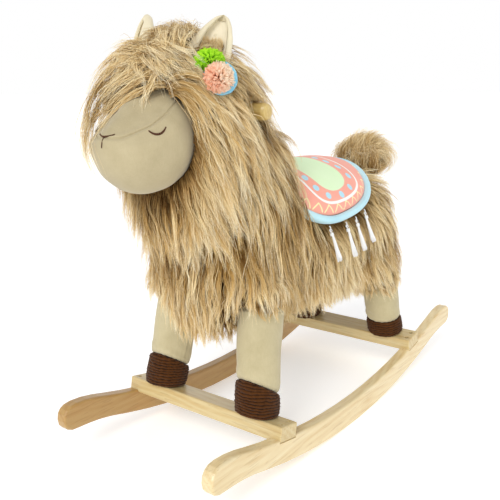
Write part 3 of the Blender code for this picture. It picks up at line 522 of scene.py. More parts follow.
def keep_out(points, extra, over=None):
    """Moves strand points out of the face, the grip, the pompoms, the felt, the saddle and the legs.

    Strands marked as over lie on the saddle; all others are tucked under its edge."""
    p = points.copy()
    away = p - FACE_CENTRE
    far = np.maximum(np.linalg.norm(away, axis=-1, keepdims=True), 1e-9)
    way = away / far
    reach = face_radius(way)[..., None] + 0.0012 + extra
    p = np.where(far < reach, FACE_CENTRE + way * reach, p)
    # the grip, with the pile parted round its bare end
    dy, dz = p[..., 1] - HANDLE_Y, p[..., 2] - HANDLE_Z
    off = np.maximum(np.hypot(dy, dz), 1e-9)
    bare = np.abs(p[..., 0])
    reach = HANDLE_R + 0.0015 + extra + 0.004 * smooth(0.060, 0.085, bare)
    hit = (off < reach) & (bare < HANDLE_HALF + 0.004)
    scale = np.where(hit, reach / off, 1.0)
    p[..., 1] = HANDLE_Y + dy * scale
    p[..., 2] = HANDLE_Z + dz * scale
    for centre, radius in ((POMPOM_GREEN, POMPOM_R), (POMPOM_CORAL, POMPOM_R + 0.001)):
        away = p - np.array(centre)
        far = np.maximum(np.linalg.norm(away, axis=-1, keepdims=True), 1e-9)
        p = np.where(far < radius + extra, np.array(centre) + away / far * (radius + extra), p)
    # the felt disc: strands pass behind it
    centre = np.array(POMPOM_CORAL) - FELT_FACES * 0.0105 + np.array(FELT_SHIFT)
    off = p - centre
    deep = off @ FELT_FACES
    flat = np.linalg.norm(off - deep[..., None] * FELT_FACES, axis=-1)
    hit = (flat < FELT_R + 0.001) & (np.abs(deep) < FELT_THICK / 2 + 0.004)
    p = np.where(hit[..., None], p - FELT_FACES * (deep + FELT_THICK / 2 + 0.0015)[..., None], p)
    drape, along, lift = back_place(p)
    inside = saddle_inside(drape, along, 0.0015)
    over = np.zeros(p.shape[:-1], bool) if over is None else over
    on = over & (inside > 0) & (lift > -0.030) & (lift < SADDLE_THICK + 0.0015 + extra) & (p[..., 2] > 0.24)
    p = np.where(on[..., None], on_back(drape, along, np.full(drape.shape, SADDLE_THICK + 0.0018) + extra), p)
    below = ~over & (inside > -0.001) & (lift > -0.0025) & (lift < 0.05) & (p[..., 2] > 0.24)
    p = np.where(below[..., None], on_back(drape, along, np.full(drape.shape, -0.0025)), p)
    for end, ysign in (("front", -1), ("rear", 1)):
        for side in (1, -1):
            foot, axis = leg_line(side, ysign)
            rel = p - foot
            run = rel @ axis
            radial = rel - run[..., None] * axis
            off = np.maximum(np.linalg.norm(radial, axis=-1), 1e-9)
            reach = LEG_R + 0.0020 + 0.5 * extra
            hit = (off < reach) & (run > 0) & (run < LEG_LENGTH[end] - 0.012)
            p = np.where(hit[..., None], foot + run[..., None] * axis + radial / off[..., None] * reach, p)
    return p


def leg_line(side, ysign):
    tilt = ysign * BAR_TILT
    normal = np.array((0.0, -math.sin(tilt), math.cos(tilt)))
    foot = np.array((side * LEG_X, ysign * BAR_SPACING / 2, BAR_TOP_Z))
    axis = unit(np.array((-side * math.tan(LEG_SPLAY), -ysign * math.tan(BAR_TILT), 1.0)))
    return foot, axis


def spread(rng, distance, low, high, depth, spacing):
    """Even random points on the surface that lies this deep inside a shape, with their outward ways."""
    found = []
    room = np.prod(np.array(high) - np.array(low))
    tries = int(room / spacing**3 * 7)
    for _ in range(2):
        p = rng.uniform(low, high, (tries, 3))
        d, way = distance(p)
        p = p[np.abs(d + depth) < 0.006]
        for _ in range(3):
            d, way = distance(p)
            p = p - way * (d + depth)[:, None]
        found.append(p)
    p = np.concatenate(found)
    # thin them until none is closer than the spacing
    cell = np.floor(p / spacing).astype(np.int64)
    taken, keep = {}, []
    for i, key in enumerate(map(tuple, cell)):
        close = False
        for dx in (-1, 0, 1):
            for dy in (-1, 0, 1):
                for dz in (-1, 0, 1):
                    for j in taken.get((key[0] + dx, key[1] + dy, key[2] + dz), ()):
                        if np.dot(p[i] - p[j], p[i] - p[j]) < spacing * spacing:
                            close = True
                            break
                    if close:
                        break
                if close:
                    break
            if close:
                break
        if not close:
            taken.setdefault(key, []).append(i)
            keep.append(i)
    p = p[keep]
    return p, distance(p)[1]


def body_flow(p, way):
    """The way the pile is combed at these points."""
    x, y, z = p[:, 0], p[:, 1], p[:, 2]
    head = smooth(0.43, 0.50, z) * smooth(-0.150, -0.215, y)
    neck = smooth(0.33, 0.42, z) * (1 - head) * smooth(0.02, -0.06, y)
    back = smooth(-0.06, 0.05, y)
    f = np.zeros_like(p)
    f[:, 2] = -1.0
    f[:, 1] = 0.06 + 0.40 * neck + 0.30 * back + 0.30 * head
    f[:, 0] = 0.06 * np.sign(x) * smooth(0.02, 0.05, np.abs(x))
    # the crown parts at the middle
    crown = smooth(0.45, 0.93, way[:, 2])
    lateral = np.zeros_like(p)
    ahead = smooth(-0.222, -0.248, y) * head
    lateral[:, 0] = np.tanh((x + 0.016 * mottle(p, 0.040, 61)) / 0.020) * (1 - 0.35 * ahead)
    lateral[:, 1] = np.where(y < -0.12, 0.32 - 0.85 * ahead, 0.55)
    lateral[:, 2] = -0.15 * head
    f = f * (1 - crown[:, None]) + lateral * crown[:, None]
    # round the face it runs along the face's rim, and away from it
    rim = smooth(-0.215, -0.262, y) * smooth(0.395, 0.435, z) * (1 - crown)
    dx, dz = x - 0.006, z - FACE_CENTRE[2]
    r = np.maximum(np.hypot(dx, dz), 1e-6)
    side = np.sign(dx)
    turn = np.stack([side * np.maximum(dz / r, -0.25), np.where(side > 0, 0.45, -0.05), -np.abs(dx) / r - 0.12], -1)
    turn += 0.25 * np.stack([dx / r, 0 * dx, dz / r], -1)
    f = f * (1 - rim[:, None]) + unit(turn) * rim[:, None]
    return unit(f)


def drift(p, seed, size, much):
    """Locks that lie near each other lean the same way."""
    return np.stack([mottle(p, size, seed + k) for k in range(3)], -1) * much


def comb(root, way, length, rng, distance, flow, pile_depth, layer, rise, over=None, steps=18, limp=0.26, seed=50):
    """Guide locks: each leaves the backing, bends over, and lies on the ones rooted below it."""
    count = len(root)
    p = root.copy()
    line, ways = [p.copy()], [way.copy()]
    d = unit(way * rise[:, None] + flow(p, way) * 0.55 + rng.normal(scale=0.18, size=(count, 3)) + drift(root, seed, 0.045, 0.16))
    ds = length / steps
    own = rng.normal(scale=0.10, size=(count, 3))
    for k in range(steps):
        t = (k + 1) / steps
        f = unit(flow(p, way) + drift(p, seed, 0.060, 0.15) + own)
        d = unit(d * (1 - limp) + f * limp + rng.normal(scale=0.015, size=(count, 3)))
        p = p + d * ds[:, None]
        s, way = distance(p)
        low = -pile_depth + pile_depth * layer * (1 - np.exp(-2.6 * t))
        push = np.maximum(low - s, 0.0)
        p = p + way * push[:, None]
        p = keep_out(p, 0.0015, over)
        line.append(p.copy())
        ways.append(way.copy())
    return np.stack(line, 1), np.stack(ways, 1)


def wave(line, ways, rng, size, period):
    """Adds each lock's own crimp."""
    count, steps = line.shape[:2]
    along = unit(np.gradient(line, axis=1))
    s = unit(np.cross(along, ways))
    run = np.concatenate([np.zeros((count, 1)), np.cumsum(np.linalg.norm(np.diff(line, axis=1), axis=2), axis=1)], 1)
    t = np.linspace(0, 1, steps)[None]
    grow = smooth(0.05, 0.45, t)
    phase = rng.uniform(0, 2 * math.pi, (count, 1))
    turn = 2 * math.pi * run / period[:, None] + phase
    move = s * (np.sin(turn) * size[:, None] * grow)[..., None]
    move += ways * (np.sin(turn * 0.83 + 1.9) * 0.45 * size[:, None] * grow)[..., None]
    return line + move


def strands(line, ways, rng, each, root_r, tip_r, width, shade, steps=9, loose=0.12, frizz=0.0012, clump=0.85, least=0.70):
    """Fine strands round each guide lock, as ribbons that narrow to a point."""
    guides, known = line.shape[:2]
    own = np.repeat(np.arange(guides), each)
    count = len(own)
    reach = rng.uniform(least, 1.0, count)
    t = np.linspace(0, 1, steps)[None] * reach[:, None]
    at = t * (known - 1)
    i = np.minimum(at.astype(int), known - 2)
    f = (at - i)[..., None]
    o = own[:, None]
    p = line[o, i] * (1 - f) + line[o, i + 1] * f
    n = unit(ways[o, i] * (1 - f) + ways[o, i + 1] * f)
    along = unit(np.gradient(p, axis=1))
    s = unit(np.cross(along, n))
    b = np.cross(s, along)
    angle = rng.uniform(0, 2 * math.pi, (count, 1))
    radius = np.sqrt(rng.uniform(0.02, 1, (count, 1)))
    free = rng.uniform(size=(count, 1)) < loose
    root_r = np.broadcast_to(root_r, guides)[own][:, None]
    tip_r = np.broadcast_to(tip_r, guides)[own][:, None]
    r = radius * (root_r * (1 - t) ** clump + tip_r * t)
    r = r + free * radius * 0.011 * t**1.3
    move = s * (np.cos(angle) * r)[..., None] + b * (np.sin(angle) * r * (1 - 0.25 * t))[..., None]
    phase = rng.uniform(0, 2 * math.pi, (count, 2))
    turns = rng.uniform(0.6, 1.7, (count, 2))
    own_frizz = frizz * rng.uniform(0.4, 1.6, (count, 1)) * (1 + 1.2 * free)
    for k, across in enumerate((s, b)):
        move += across * (own_frizz * np.sin(2 * math.pi * turns[:, k : k + 1] * t + phase[:, k : k + 1]) * smooth(0.0, 0.4, t))[..., None]
    p = p + move
    roll = rng.normal(scale=0.55, size=(count, 1))
    looks = n * np.cos(roll)[..., None] + s * np.sin(roll)[..., None]
    taper = 1.0 - 0.82 * (np.linspace(0, 1, steps)[None] ** 1.8)
    w = width * rng.uniform(0.65, 1.25, (count, 1)) * taper
    v = np.clip(t * 0.94 + 0.03 + rng.normal(scale=0.03, size=(count, 1)), 0.01, 0.99)
    u = np.clip(np.repeat(shade, each) + rng.normal(scale=0.34, size=count), 0.02, 0.97)
    return p, looks, w, u, v


def ribbon_arrays(p, looks, w, u, v):
    count, steps = p.shape[:2]
    along = unit(np.gradient(p, axis=1))
    side = unit(np.cross(along, looks)) * (w / 2)[..., None]
    points = np.stack([p - side, p + side], axis=2)
    index = np.arange(count * steps * 2).reshape(count, steps, 2)
    faces = np.stack([index[:, :-1, 0], index[:, :-1, 1], index[:, 1:, 1], index[:, 1:, 0]], -1)
    u0 = np.broadcast_to(u[:, None], (count, steps - 1))
    u1 = u0 + 0.006
    uv = np.stack([np.stack([u0, v[:, :-1]], -1), np.stack([u1, v[:, :-1]], -1),
                   np.stack([u1, v[:, 1:]], -1), np.stack([u0, v[:, 1:]], -1)], axis=2)
    return points.reshape(-1, 3), faces.reshape(-1, 4), uv.reshape(-1, 2)


def in_ear(p):
    """True for strand points that would run through an ear."""
    hit = np.zeros(p.shape[:-1], bool)
    for word, place in EAR_FRAMES.items():
        side = 1 if word == "left" else -1
        back = np.array(place.inverted())
        q = p @ back[:3, :3].T + back[:3, 3]
        t = q[..., 2] / EAR_HEIGHT
        k = np.clip(t, 0, 1)
        half = EAR_WIDTH / 2 * 0.90 * (1 - k**1.8) ** 0.70 + 0.002
        x = q[..., 0] - side * EAR_TIP_OUT * k**1.4
        cup = 0.17 * EAR_WIDTH * (1 - np.clip(x / (EAR_WIDTH / 2), -1, 1) ** 2) * (1 - 0.5 * t) + 0.10 * EAR_HEIGHT * t * t
        hit |= (np.abs(x) < half) & (t > 0.06) & (t < 1.02) & (q[..., 1] < cup + 0.0015) & (q[..., 1] > cup - EAR_THICK - 0.0060)
    return hit


# where the cover's hem hangs, over the legs, the chest and the belly
def hem_height(p):
    x, y = np.abs(p[..., 0]), p[..., 1]
    leg = smooth(0.030, 0.052, x)
    front = 0.172 + 0.058 * leg
    belly = 0.158 + 0 * x
    rear = 0.146 + 0.024 * smooth(0.14, 0.22, y)
    first, last = smooth(-0.115, -0.135, y), smooth(0.08, 0.13, y)
    return front * first + rear * last + belly * (1 - first - last)


# ---------------------------------------------------------------- camera, as found from the photo
EYE = np.array((0.5841, -0.8827, 0.5126))
R, U, D = (np.array(v) for v in ((0.8027, 0.5964, -0.0066), (-0.1363, 0.1942, 0.9714), (-0.5806, 0.7788, -0.2372)))
D = unit(D)
R = unit(R - D * (R @ D))
U = np.cross(R, D)
FOCAL = 673.13


def seen(px, py, level):
    """The nearest point along a line of sight that stands this far off the cover or the face."""
    way = unit(D * FOCAL + R * (px - 250) - U * (py - 250))
    t = np.linspace(0.35, 1.35, 900)
    p = EYE + way * t[:, None]
    off = p - FACE_CENTRE
    far = np.linalg.norm(off, axis=-1)
    gap = np.minimum(cover_distance(p)[0], far - face_radius(off / far[:, None])) - level
    hit = np.flatnonzero(gap <= 0)
    i = hit[0] if len(hit) else int(np.argmin(gap))
    return p[i]


# Locks that stand out, each as (shade, copies, lift of root, level along it, mirrored, path).
HERO = (
    # The first four sweep from the parting down the face's near side; their low shades are painted shade.
    (0.40, 3, 0.012, 0.0035, 0, ((163.8, 81), (172.5, 75), (190, 72.5), (207.5, 82.5), (220, 97.5), (232, 110), (250, 120))),
    (0.30, 3, 0.012, 0.0030, 0, ((165, 86), (177.5, 79), (195, 82.5), (210, 97.5), (222.5, 112.5), (235, 130), (242.5, 150))),
    (0.25, 3, 0.012, 0.0025, 0, ((167.5, 91), (182.5, 86), (196, 95), (206, 110), (215, 127.5), (222.5, 150))),
    (0.20, 3, 0.012, 0.0015, 0, ((172.5, 90), (185, 94), (195, 106), (202.5, 125), (210, 147.5), (220, 170))),
    (0.85, 3, 0.010, 0.0040, 1, ((220, 105), (230, 130), (240, 160), (245, 190), (246, 215))),
    (0.80, 2, 0.010, 0.0040, 1, ((205, 92), (218, 108), (228, 128), (240, 150), (252, 180))),
    (0.75, 3, 0.010, 0.0040, 1, ((232, 97), (245, 107), (257, 120), (266, 140))),
    (0.70, 3, 0.010, 0.0040, 1, ((235, 65), (260, 100), (277, 130), (292, 155))),
    (0.75, 3, 0.012, 0.0020, 0, ((160, 75), (145, 77.5), (127.5, 87.5), (112.5, 100), (102.5, 115), (97.5, 130))),
    (0.80, 3, 0.012, 0.0035, 0, ((155, 65), (135, 67.5), (115, 80), (100, 100), (92.5, 120), (89, 140))),
    (0.80, 3, 0.012, 0.0045, 0, ((142.5, 55), (122.5, 57.5), (105, 72.5), (92.5, 95), (86, 117.5), (84, 142.5), (85, 160))),
    (0.75, 2, 0.010, 0.0060, 0, ((135, 47), (117, 52), (102, 65), (90, 85), (84, 107))),
    (0.55, 3, 0.012, 0.0012, 0, ((158, 82), (140, 88), (122, 103), (106, 120), (95, 135), (88, 155))),
    (0.60, 1, 0.008, 0.0016, 0, ((160, 67), (150, 82), (144, 100), (141, 117))),
    (0.60, 1, 0.008, 0.0014, 0, ((162, 82), (152, 86), (145, 100), (142, 110))),
    (0.70, 1, 0.004, 0.0100, 0, ((166, 52), (165, 36), (170, 19))),
    (0.70, 1, 0.004, 0.0100, 0, ((174, 52), (176, 32), (181, 12.5))),
    (0.70, 1, 0.004, 0.0100, 0, ((182, 52), (186, 36), (197, 24))),
    (0.75, 3, 0.010, 0.0040, 0, ((100, 80), (90, 100), (84, 125), (84, 150), (90, 172))),
    (0.75, 2, 0.010, 0.0040, 0, ((92, 112), (86, 130), (85, 150), (90, 168), (98, 184))),
    (0.75, 2, 0.010, 0.0030, 0, ((110, 70), (96, 88), (88, 110), (86, 135), (90, 160), (98, 178))),
    (0.60, 3, 0.008, 0.0030, 0, ((152, 50), (136, 57), (119, 70), (106, 90))),
    (0.60, 3, 0.008, 0.0030, 0, ((158, 58), (142, 63), (122, 78), (108, 100))),
    (0.60, 2, 0.008, 0.0030, 0, ((143, 46), (127, 52), (110, 64), (98, 82))),
    (0.60, 2, 0.008, 0.0040, 1, ((180, 50), (190, 58), (204, 72), (216, 92))),
)


def hero_locks(rng, steps):
    lines, shades = [], []
    for shade, copies, sunk, level, mirrored, path in HERO:
        a = np.array(path, float)
        k = np.linspace(0, 1, len(a))
        fine = np.linspace(0, 1, steps)
        a = np.stack([np.interp(fine, k, a[:, i]) for i in (0, 1)], -1)
        for _ in range(3):
            a[1:-1] = 0.25 * a[:-2] + 0.5 * a[1:-1] + 0.25 * a[2:]
        for copy in range(copies):
            shift = rng.normal(scale=3.2, size=2) * (copy > 0)
            raise_ = level * rng.uniform(0.6, 1.3)
            line = np.stack([seen(u + shift[0], v + shift[1], raise_ * smooth(0, 0.3, t) + 0.0005) for (u, v), t in zip(a, fine)])
            for _ in range(4):
                line[1:-1] = 0.25 * line[:-2] + 0.5 * line[1:-1] + 0.25 * line[2:]
            way = cover_distance(line)[1]
            line = line - way * (sunk * (1 - smooth(0.0, 0.22, fine)))[:, None]
            for flip in (1, -1) if mirrored else (1,):
                lines.append(line * np.array((flip, 1, 1)))
                shades.append(shade + rng.normal(scale=0.05))
    return np.array(lines), np.array(shades)


def jaw_locks(rng, count, steps):
    """Hair sewn behind the face's lower rim, that comes out round the jaw and hangs."""
    angle = np.radians(rng.uniform(-112, 112, count))
    deep = rng.uniform(0.026, 0.046, count)
    rim = np.stack([np.sin(angle), 0 * angle, -np.cos(angle)], -1)
    start = FACE_CENTRE + rim * rng.uniform(0.044, 0.054, (count, 1)) + np.stack([0 * deep, deep, 0 * deep], -1)
    edge = FACE_CENTRE + rim * rng.uniform(0.062, 0.074, (count, 1)) + np.stack([0 * deep, deep - 0.006, 0 * deep], -1)
    length = rng.uniform(0.055, 0.108, count)
    t = np.linspace(0, 1, steps)[None, :, None]
    out = smooth(0.0, 0.22, t)
    fall = np.clip((t - 0.10) / 0.90, 0, 1) ** 1.15
    way = np.stack([0.36 * np.sin(angle), 0.22 + 0.10 * rng.normal(size=count), -np.ones(count)], -1)
    line = start[:, None] * (1 - out) + edge[:, None] * out + way[:, None] * length[:, None, None] * fall
    return line + drift(edge, 71, 0.04, 1.0)[:, None] * 0.007 * t**1.5


def crown_locks(rng, count, front, steps):
    """Tousled hair on top of the head and above the face, that stands a little and falls to both sides over the parting."""
    at = np.stack([rng.normal(scale=0.017, size=count), rng.uniform(-0.272, -0.185, count), np.full(count, 0.60)], -1)
    ahead = np.stack([rng.normal(scale=0.013, size=front), np.full(front, -0.325), rng.uniform(0.548, 0.592, front)], -1)
    at = np.concatenate([at, ahead])
    for _ in range(10):
        gap, way = cover_distance(at)
        at -= way * (gap + PILE * 0.75)[:, None]
    every = count + front
    first = np.arange(every) >= count
    angle = np.where(first, rng.normal(scale=0.55, size=every) + math.pi * (rng.uniform(size=every) < 0.5), rng.uniform(0, 2 * math.pi, every))
    heading = np.stack([1.25 * np.cos(angle), 0.9 * np.sin(angle) - 0.30, 0 * angle], -1)
    heading = unit(heading - way * (heading * way).sum(-1, keepdims=True))
    reach = np.where(first, rng.uniform(0.026, 0.056, every), rng.uniform(0.026, 0.058, every))
    lift, fall = rng.uniform(0.016, 0.032, every), np.where(first, rng.uniform(0.008, 0.034, every), 0.020)
    t = np.linspace(0, 1, steps)[None]
    line = at[:, None] + heading[:, None] * (reach[:, None] * (0.35 * t + 0.65 * t**1.6))[..., None]
    line += way[:, None] * (lift[:, None] * np.sin(math.pi * np.minimum(t * 0.80, 1)))[..., None]
    line[..., 2] -= fall[:, None] * t**2.0
    gap, way = cover_distance(line.reshape(-1, 3))
    low = np.maximum(-0.55 * PILE * (1 - np.tile(t[0], every)) - gap, 0)
    return (line.reshape(-1, 3) + way * low[:, None]).reshape(line.shape)


def make_fur():
    rng = np.random.default_rng(20417)
    low, high = (-0.125, -0.335, 0.14), (0.125, 0.285, 0.575)
    coarse, way = spread(rng, cover_distance, low, high, PILE, 0.0074)
    close, way2 = spread(rng, cover_distance, (-0.125, -0.335, 0.385), (0.125, -0.150, 0.575), PILE, 0.0060)
    near = (coarse[:, 2] > 0.405) & (coarse[:, 1] < -0.17)
    mine = (close[:, 2] > 0.405) & (close[:, 1] < -0.17)
    root, way = np.concatenate([coarse[~near], close[mine]]), np.concatenate([way[~near], way2[mine]])
    # none under the saddle or the face, nor below the hem
    drape, along, lift = back_place(root)
    keep = ~((saddle_inside(drape, along, -0.025) > 0) & (root[:, 2] > 0.26) & (lift > -0.05))
    off = root - FACE_CENTRE
    far = np.linalg.norm(off, axis=1)
    keep &= far > face_radius(off / far[:, None]) + 0.0005
    keep &= root[:, 2] > hem_height(root) + 0.004
    root, way = root[keep], way[keep]
    x, y, z = root.T
    count = len(root)
    over = (y < -0.08) & (z > 0.33)
    head = smooth(0.43, 0.50, z) * smooth(-0.150, -0.215, y)
    crown = smooth(0.75, 0.95, way[:, 2])
    under = smooth(-0.05, -0.6, way[:, 2])
    chest = smooth(0.45, 0.36, z) * smooth(-0.05, -0.12, y)
    length = 0.096 + 0.020 * chest - 0.006 * head - 0.014 * smooth(0.05, 0.15, y) - 0.045 * under
    length = length * rng.uniform(0.80, 1.14, count)
    layer = rng.uniform(0.40, 1.14, count) + 0.16 * mottle(root, 0.05, 3)
    open_ = smooth(0.75, 1.35, mottle(root * (1, 1, 0.45), 0.055, 140))
    layer = layer * (1 - 0.60 * open_) + 0.28 * crown * head
    rise = 0.70 + 0.35 * crown * head + rng.uniform(-0.15, 0.25, count)
    ragged = rng.normal(scale=0.010, size=count) + 0.008 * mottle(root, 0.03, 91)
    for _ in range(2):
        seeded = np.random.default_rng(77)
        line, ways = comb(root, way, length, seeded, cover_distance, body_flow, PILE, layer, rise, over)
        # a lock that would hang below the hem is cut shorter
        s = cover_distance(line.reshape(-1, 3))[0].reshape(line.shape[:2])
        past = (line[..., 2] < (hem_height(line) + ragged[:, None])) | (s > 0.020)
        first = np.where(past.any(1), past.argmax(1), line.shape[1]) / (line.shape[1] - 1)
        length = length * np.clip(first + 0.03, 0.14, 1.0)
    line = wave(line, ways, rng, rng.uniform(0.0010, 0.0038, count), rng.uniform(0.045, 0.105, count))
    # Random patches of darker and paler strands, plus painted shade: strands that lie deeper in the pile, and those
    # where the locks part, are painted darker.
    patches_and_painted_shade = -0.38 * open_ + 0.22 * mottle(root, 0.06, 11) + 0.20 * mottle(root, 0.02, 12) + 0.20 * (layer - 0.80) / 0.3
    shade = 0.64 + patches_and_painted_shade * (1 + 0.5 * chest) + 0.10 * head * (1 - chest) - 0.30 * chest
    # Painted shade: the near side's hair next to the face is painted darker.
    shade = shade - 0.30 * smooth(-0.225, -0.262, y) * smooth(0.40, 0.43, z) * smooth(0.03, 0.055, x)

    each = 19
    groups = []
    p, looks, w, u, v = strands(line, ways, rng, each, 0.0050, rng.uniform(0.0002, 0.0018, count), 0.00070, shade, loose=0.17, clump=1.25)
    owner = np.repeat(np.arange(count), each)
    groups.append((p, looks, w, u, v, over[owner], root[owner]))
    # the face's own locks
    hero, tones = hero_locks(rng, 19)
    ways = cover_distance(hero.reshape(-1, 3))[1].reshape(hero.shape)
    hero = wave(hero, ways, rng, rng.uniform(0.0006, 0.0024, len(hero)), rng.uniform(0.040, 0.080, len(hero)))
    p, looks, w, u, v = strands(hero, ways, rng, 24, 0.0034, rng.uniform(0.0010, 0.0036, len(hero)), 0.00070, tones, loose=0.25, least=0.50)
    v = 0.32 + 0.67 * v
    groups.append((p, looks, w, u, v, np.zeros(len(p), bool), np.repeat(hero[:, 0], 24, axis=0)))
    crown_line = crown_locks(rng, 190, 120, 19)
    ways = unit(crown_line - np.array((0.0, -0.235, 0.500)))
    crown_line = wave(crown_line, ways, rng, rng.uniform(0.0012, 0.0040, len(crown_line)), rng.uniform(0.035, 0.075, len(crown_line)))
    p, looks, w, u, v = strands(crown_line, ways, rng, 18, 0.0040, rng.uniform(0.0004, 0.0030, len(crown_line)), 0.00070,
                                0.70 + 0.22 * mottle(crown_line[:, 4], 0.03, 16), loose=0.30, least=0.55)
    groups.append((p, looks, w, u, v, np.zeros(len(p), bool), np.repeat(crown_line[:, 0], 18, axis=0)))
    jaw = jaw_locks(rng, 330, 19)
    ways = unit(jaw - np.array((0.0, -0.20, 0.40)))
    jaw = wave(jaw, ways, rng, rng.uniform(0.0008, 0.0030, len(jaw)), rng.uniform(0.045, 0.090, len(jaw)))
    p, looks, w, u, v = strands(jaw, ways, rng, 18, 0.0042, rng.uniform(0.0004, 0.0026, len(jaw)), 0.00070,
                                0.55 + 0.22 * mottle(jaw[:, 4], 0.03, 15), loose=0.20, least=0.55)
    groups.append((p, looks, w, u, v, np.zeros(len(p), bool), np.repeat(jaw[:, 0], 18, axis=0)))
    p, looks, w, u, v, over, root = (np.concatenate(g) for g in zip(*groups))
    shape = p.shape[:2]
    flat = p.reshape(-1, 3)
    s, out = cover_distance(flat)
    flat = flat + out * np.maximum(-PILE + 0.0006 - s, 0)[:, None]
    flat = keep_out(flat, 0.0, np.repeat(over, shape[1]))
    p = flat.reshape(*shape, 3)
    ok = ~in_ear(p).any(1)
    for side in (1, -1):
        t = (HANDLE_Y - p[..., 1]) / D[1]
        across = side * p[..., 0] + D[0] * t
        height = p[..., 2] + D[2] * t
        hides = (t > -0.012) & (t < 0.140) & (across > 0.060) & (across < HANDLE_HALF + 0.004) & (np.abs(height - HANDLE_Z) < 0.0135)
        ok &= ~(hides.any(1) & (rng.uniform(size=len(p)) > 0.05 + 0.4 * smooth(0.080, 0.062, np.where(hides, across, 0).max(1))))
    y, z, x = root[:, 1], root[:, 2], root[:, 0]
    region = np.where(z > 0.425, 0, np.where(y < -0.16, 1, np.where(y < -0.02, 2, np.where(y < 0.13, 3, 4))))
    region = region * 2 + (x > 0)
    names = ("crown_right", "crown_left", "chest_right", "chest_left", "shoulder_right", "shoulder_left",
             "flank_right", "flank_left", "rump_right", "rump_left")
    for k, word in enumerate(names):
        pick = np.flatnonzero(ok & (region == k))
        for part, some in enumerate(np.array_split(pick, max(1, math.ceil(len(pick) / 11500))), 1):
            points, faces, uv = ribbon_arrays(p[some], looks[some], w[some], u[some], v[some])
            put(f"pile_{word}_{part}", points, faces, LOOKS["fur"], uv=uv)
    print("locks", count, "strands", int(ok.sum()))


def skin_mesh(name, masses, inset, voxel, look, body, replaced, shape=None):
    bm = bmesh.new()
    for centre, half in masses:
        made = bmesh.ops.create_uvsphere(bm, u_segments=32, v_segments=20, radius=1.0)["verts"]
        bmesh.ops.scale(bm, vec=Vector([h - inset for h in half]), verts=made)
        bmesh.ops.translate(bm, vec=Vector(centre), verts=made)
    mesh = bpy.data.meshes.new(name)
    bm.to_mesh(mesh)
    bm.free()
    obj = bpy.data.objects.new(name, mesh)
    bpy.context.scene.collection.objects.link(obj)
    remesh = obj.modifiers.new("skin", "REMESH")
    remesh.mode = "VOXEL"
    remesh.voxel_size = voxel
    even = obj.modifiers.new("even", "SMOOTH")
    even.factor, even.iterations = 0.5, 6
    bpy.context.view_layer.update()
    done = bpy.data.meshes.new_from_object(obj.evaluated_get(bpy.context.evaluated_depsgraph_get()))
    obj.modifiers.clear()
    obj.data = done
    done.name = name
    bpy.data.meshes.remove(mesh)
    points = np.zeros(len(done.vertices) * 3, np.float32)
    done.vertices.foreach_get("co", points)
    points = points.reshape(-1, 3).astype(float)
    if shape:
        points = shape(points)
    done.vertices.foreach_set("co", points.astype(np.float32).ravel())
    done.update()
    done.shade_smooth()
    done.materials.clear()
    done.materials.append(look)
    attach(obj, body)
    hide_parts(*replaced)
    return obj


def behind_face(points):
    off = points - FACE_CENTRE
    wide = FACE_R + 0.0020
    far = np.linalg.norm(off, axis=1)
    reach = np.sqrt(np.maximum(wide**2 - off[:, 0] ** 2 - off[:, 2] ** 2, 0))
    points[:, 1] = np.where(far < wide, FACE_CENTRE[1] + np.maximum(reach, 0.004), points[:, 1])
    drape, along, lift = back_place(points)
    under = (saddle_inside(drape, along, 0.004) > 0) & (points[:, 2] > 0.25)
    low = np.where(under & (lift > -0.004), -0.004, lift)
    moved = on_back(drape, along, low)
    return np.where((under & (lift > -0.004))[:, None], moved, points)


skin_mesh("cover_backing", HAIR_MASSES, PILE - 0.001, 0.0065, LOOKS["backing"], "root", ("body_cover", "head_cover"), behind_face)
make_fur()

# ---------------------------------------------------------------- tail
TAIL_MASSES = ((TAIL_CENTRE, TAIL_HALF), ((0.0, 0.247, 0.350), (0.028, 0.026, 0.034)))
TAIL_CORE = np.array((0.0, 0.252, 0.368))


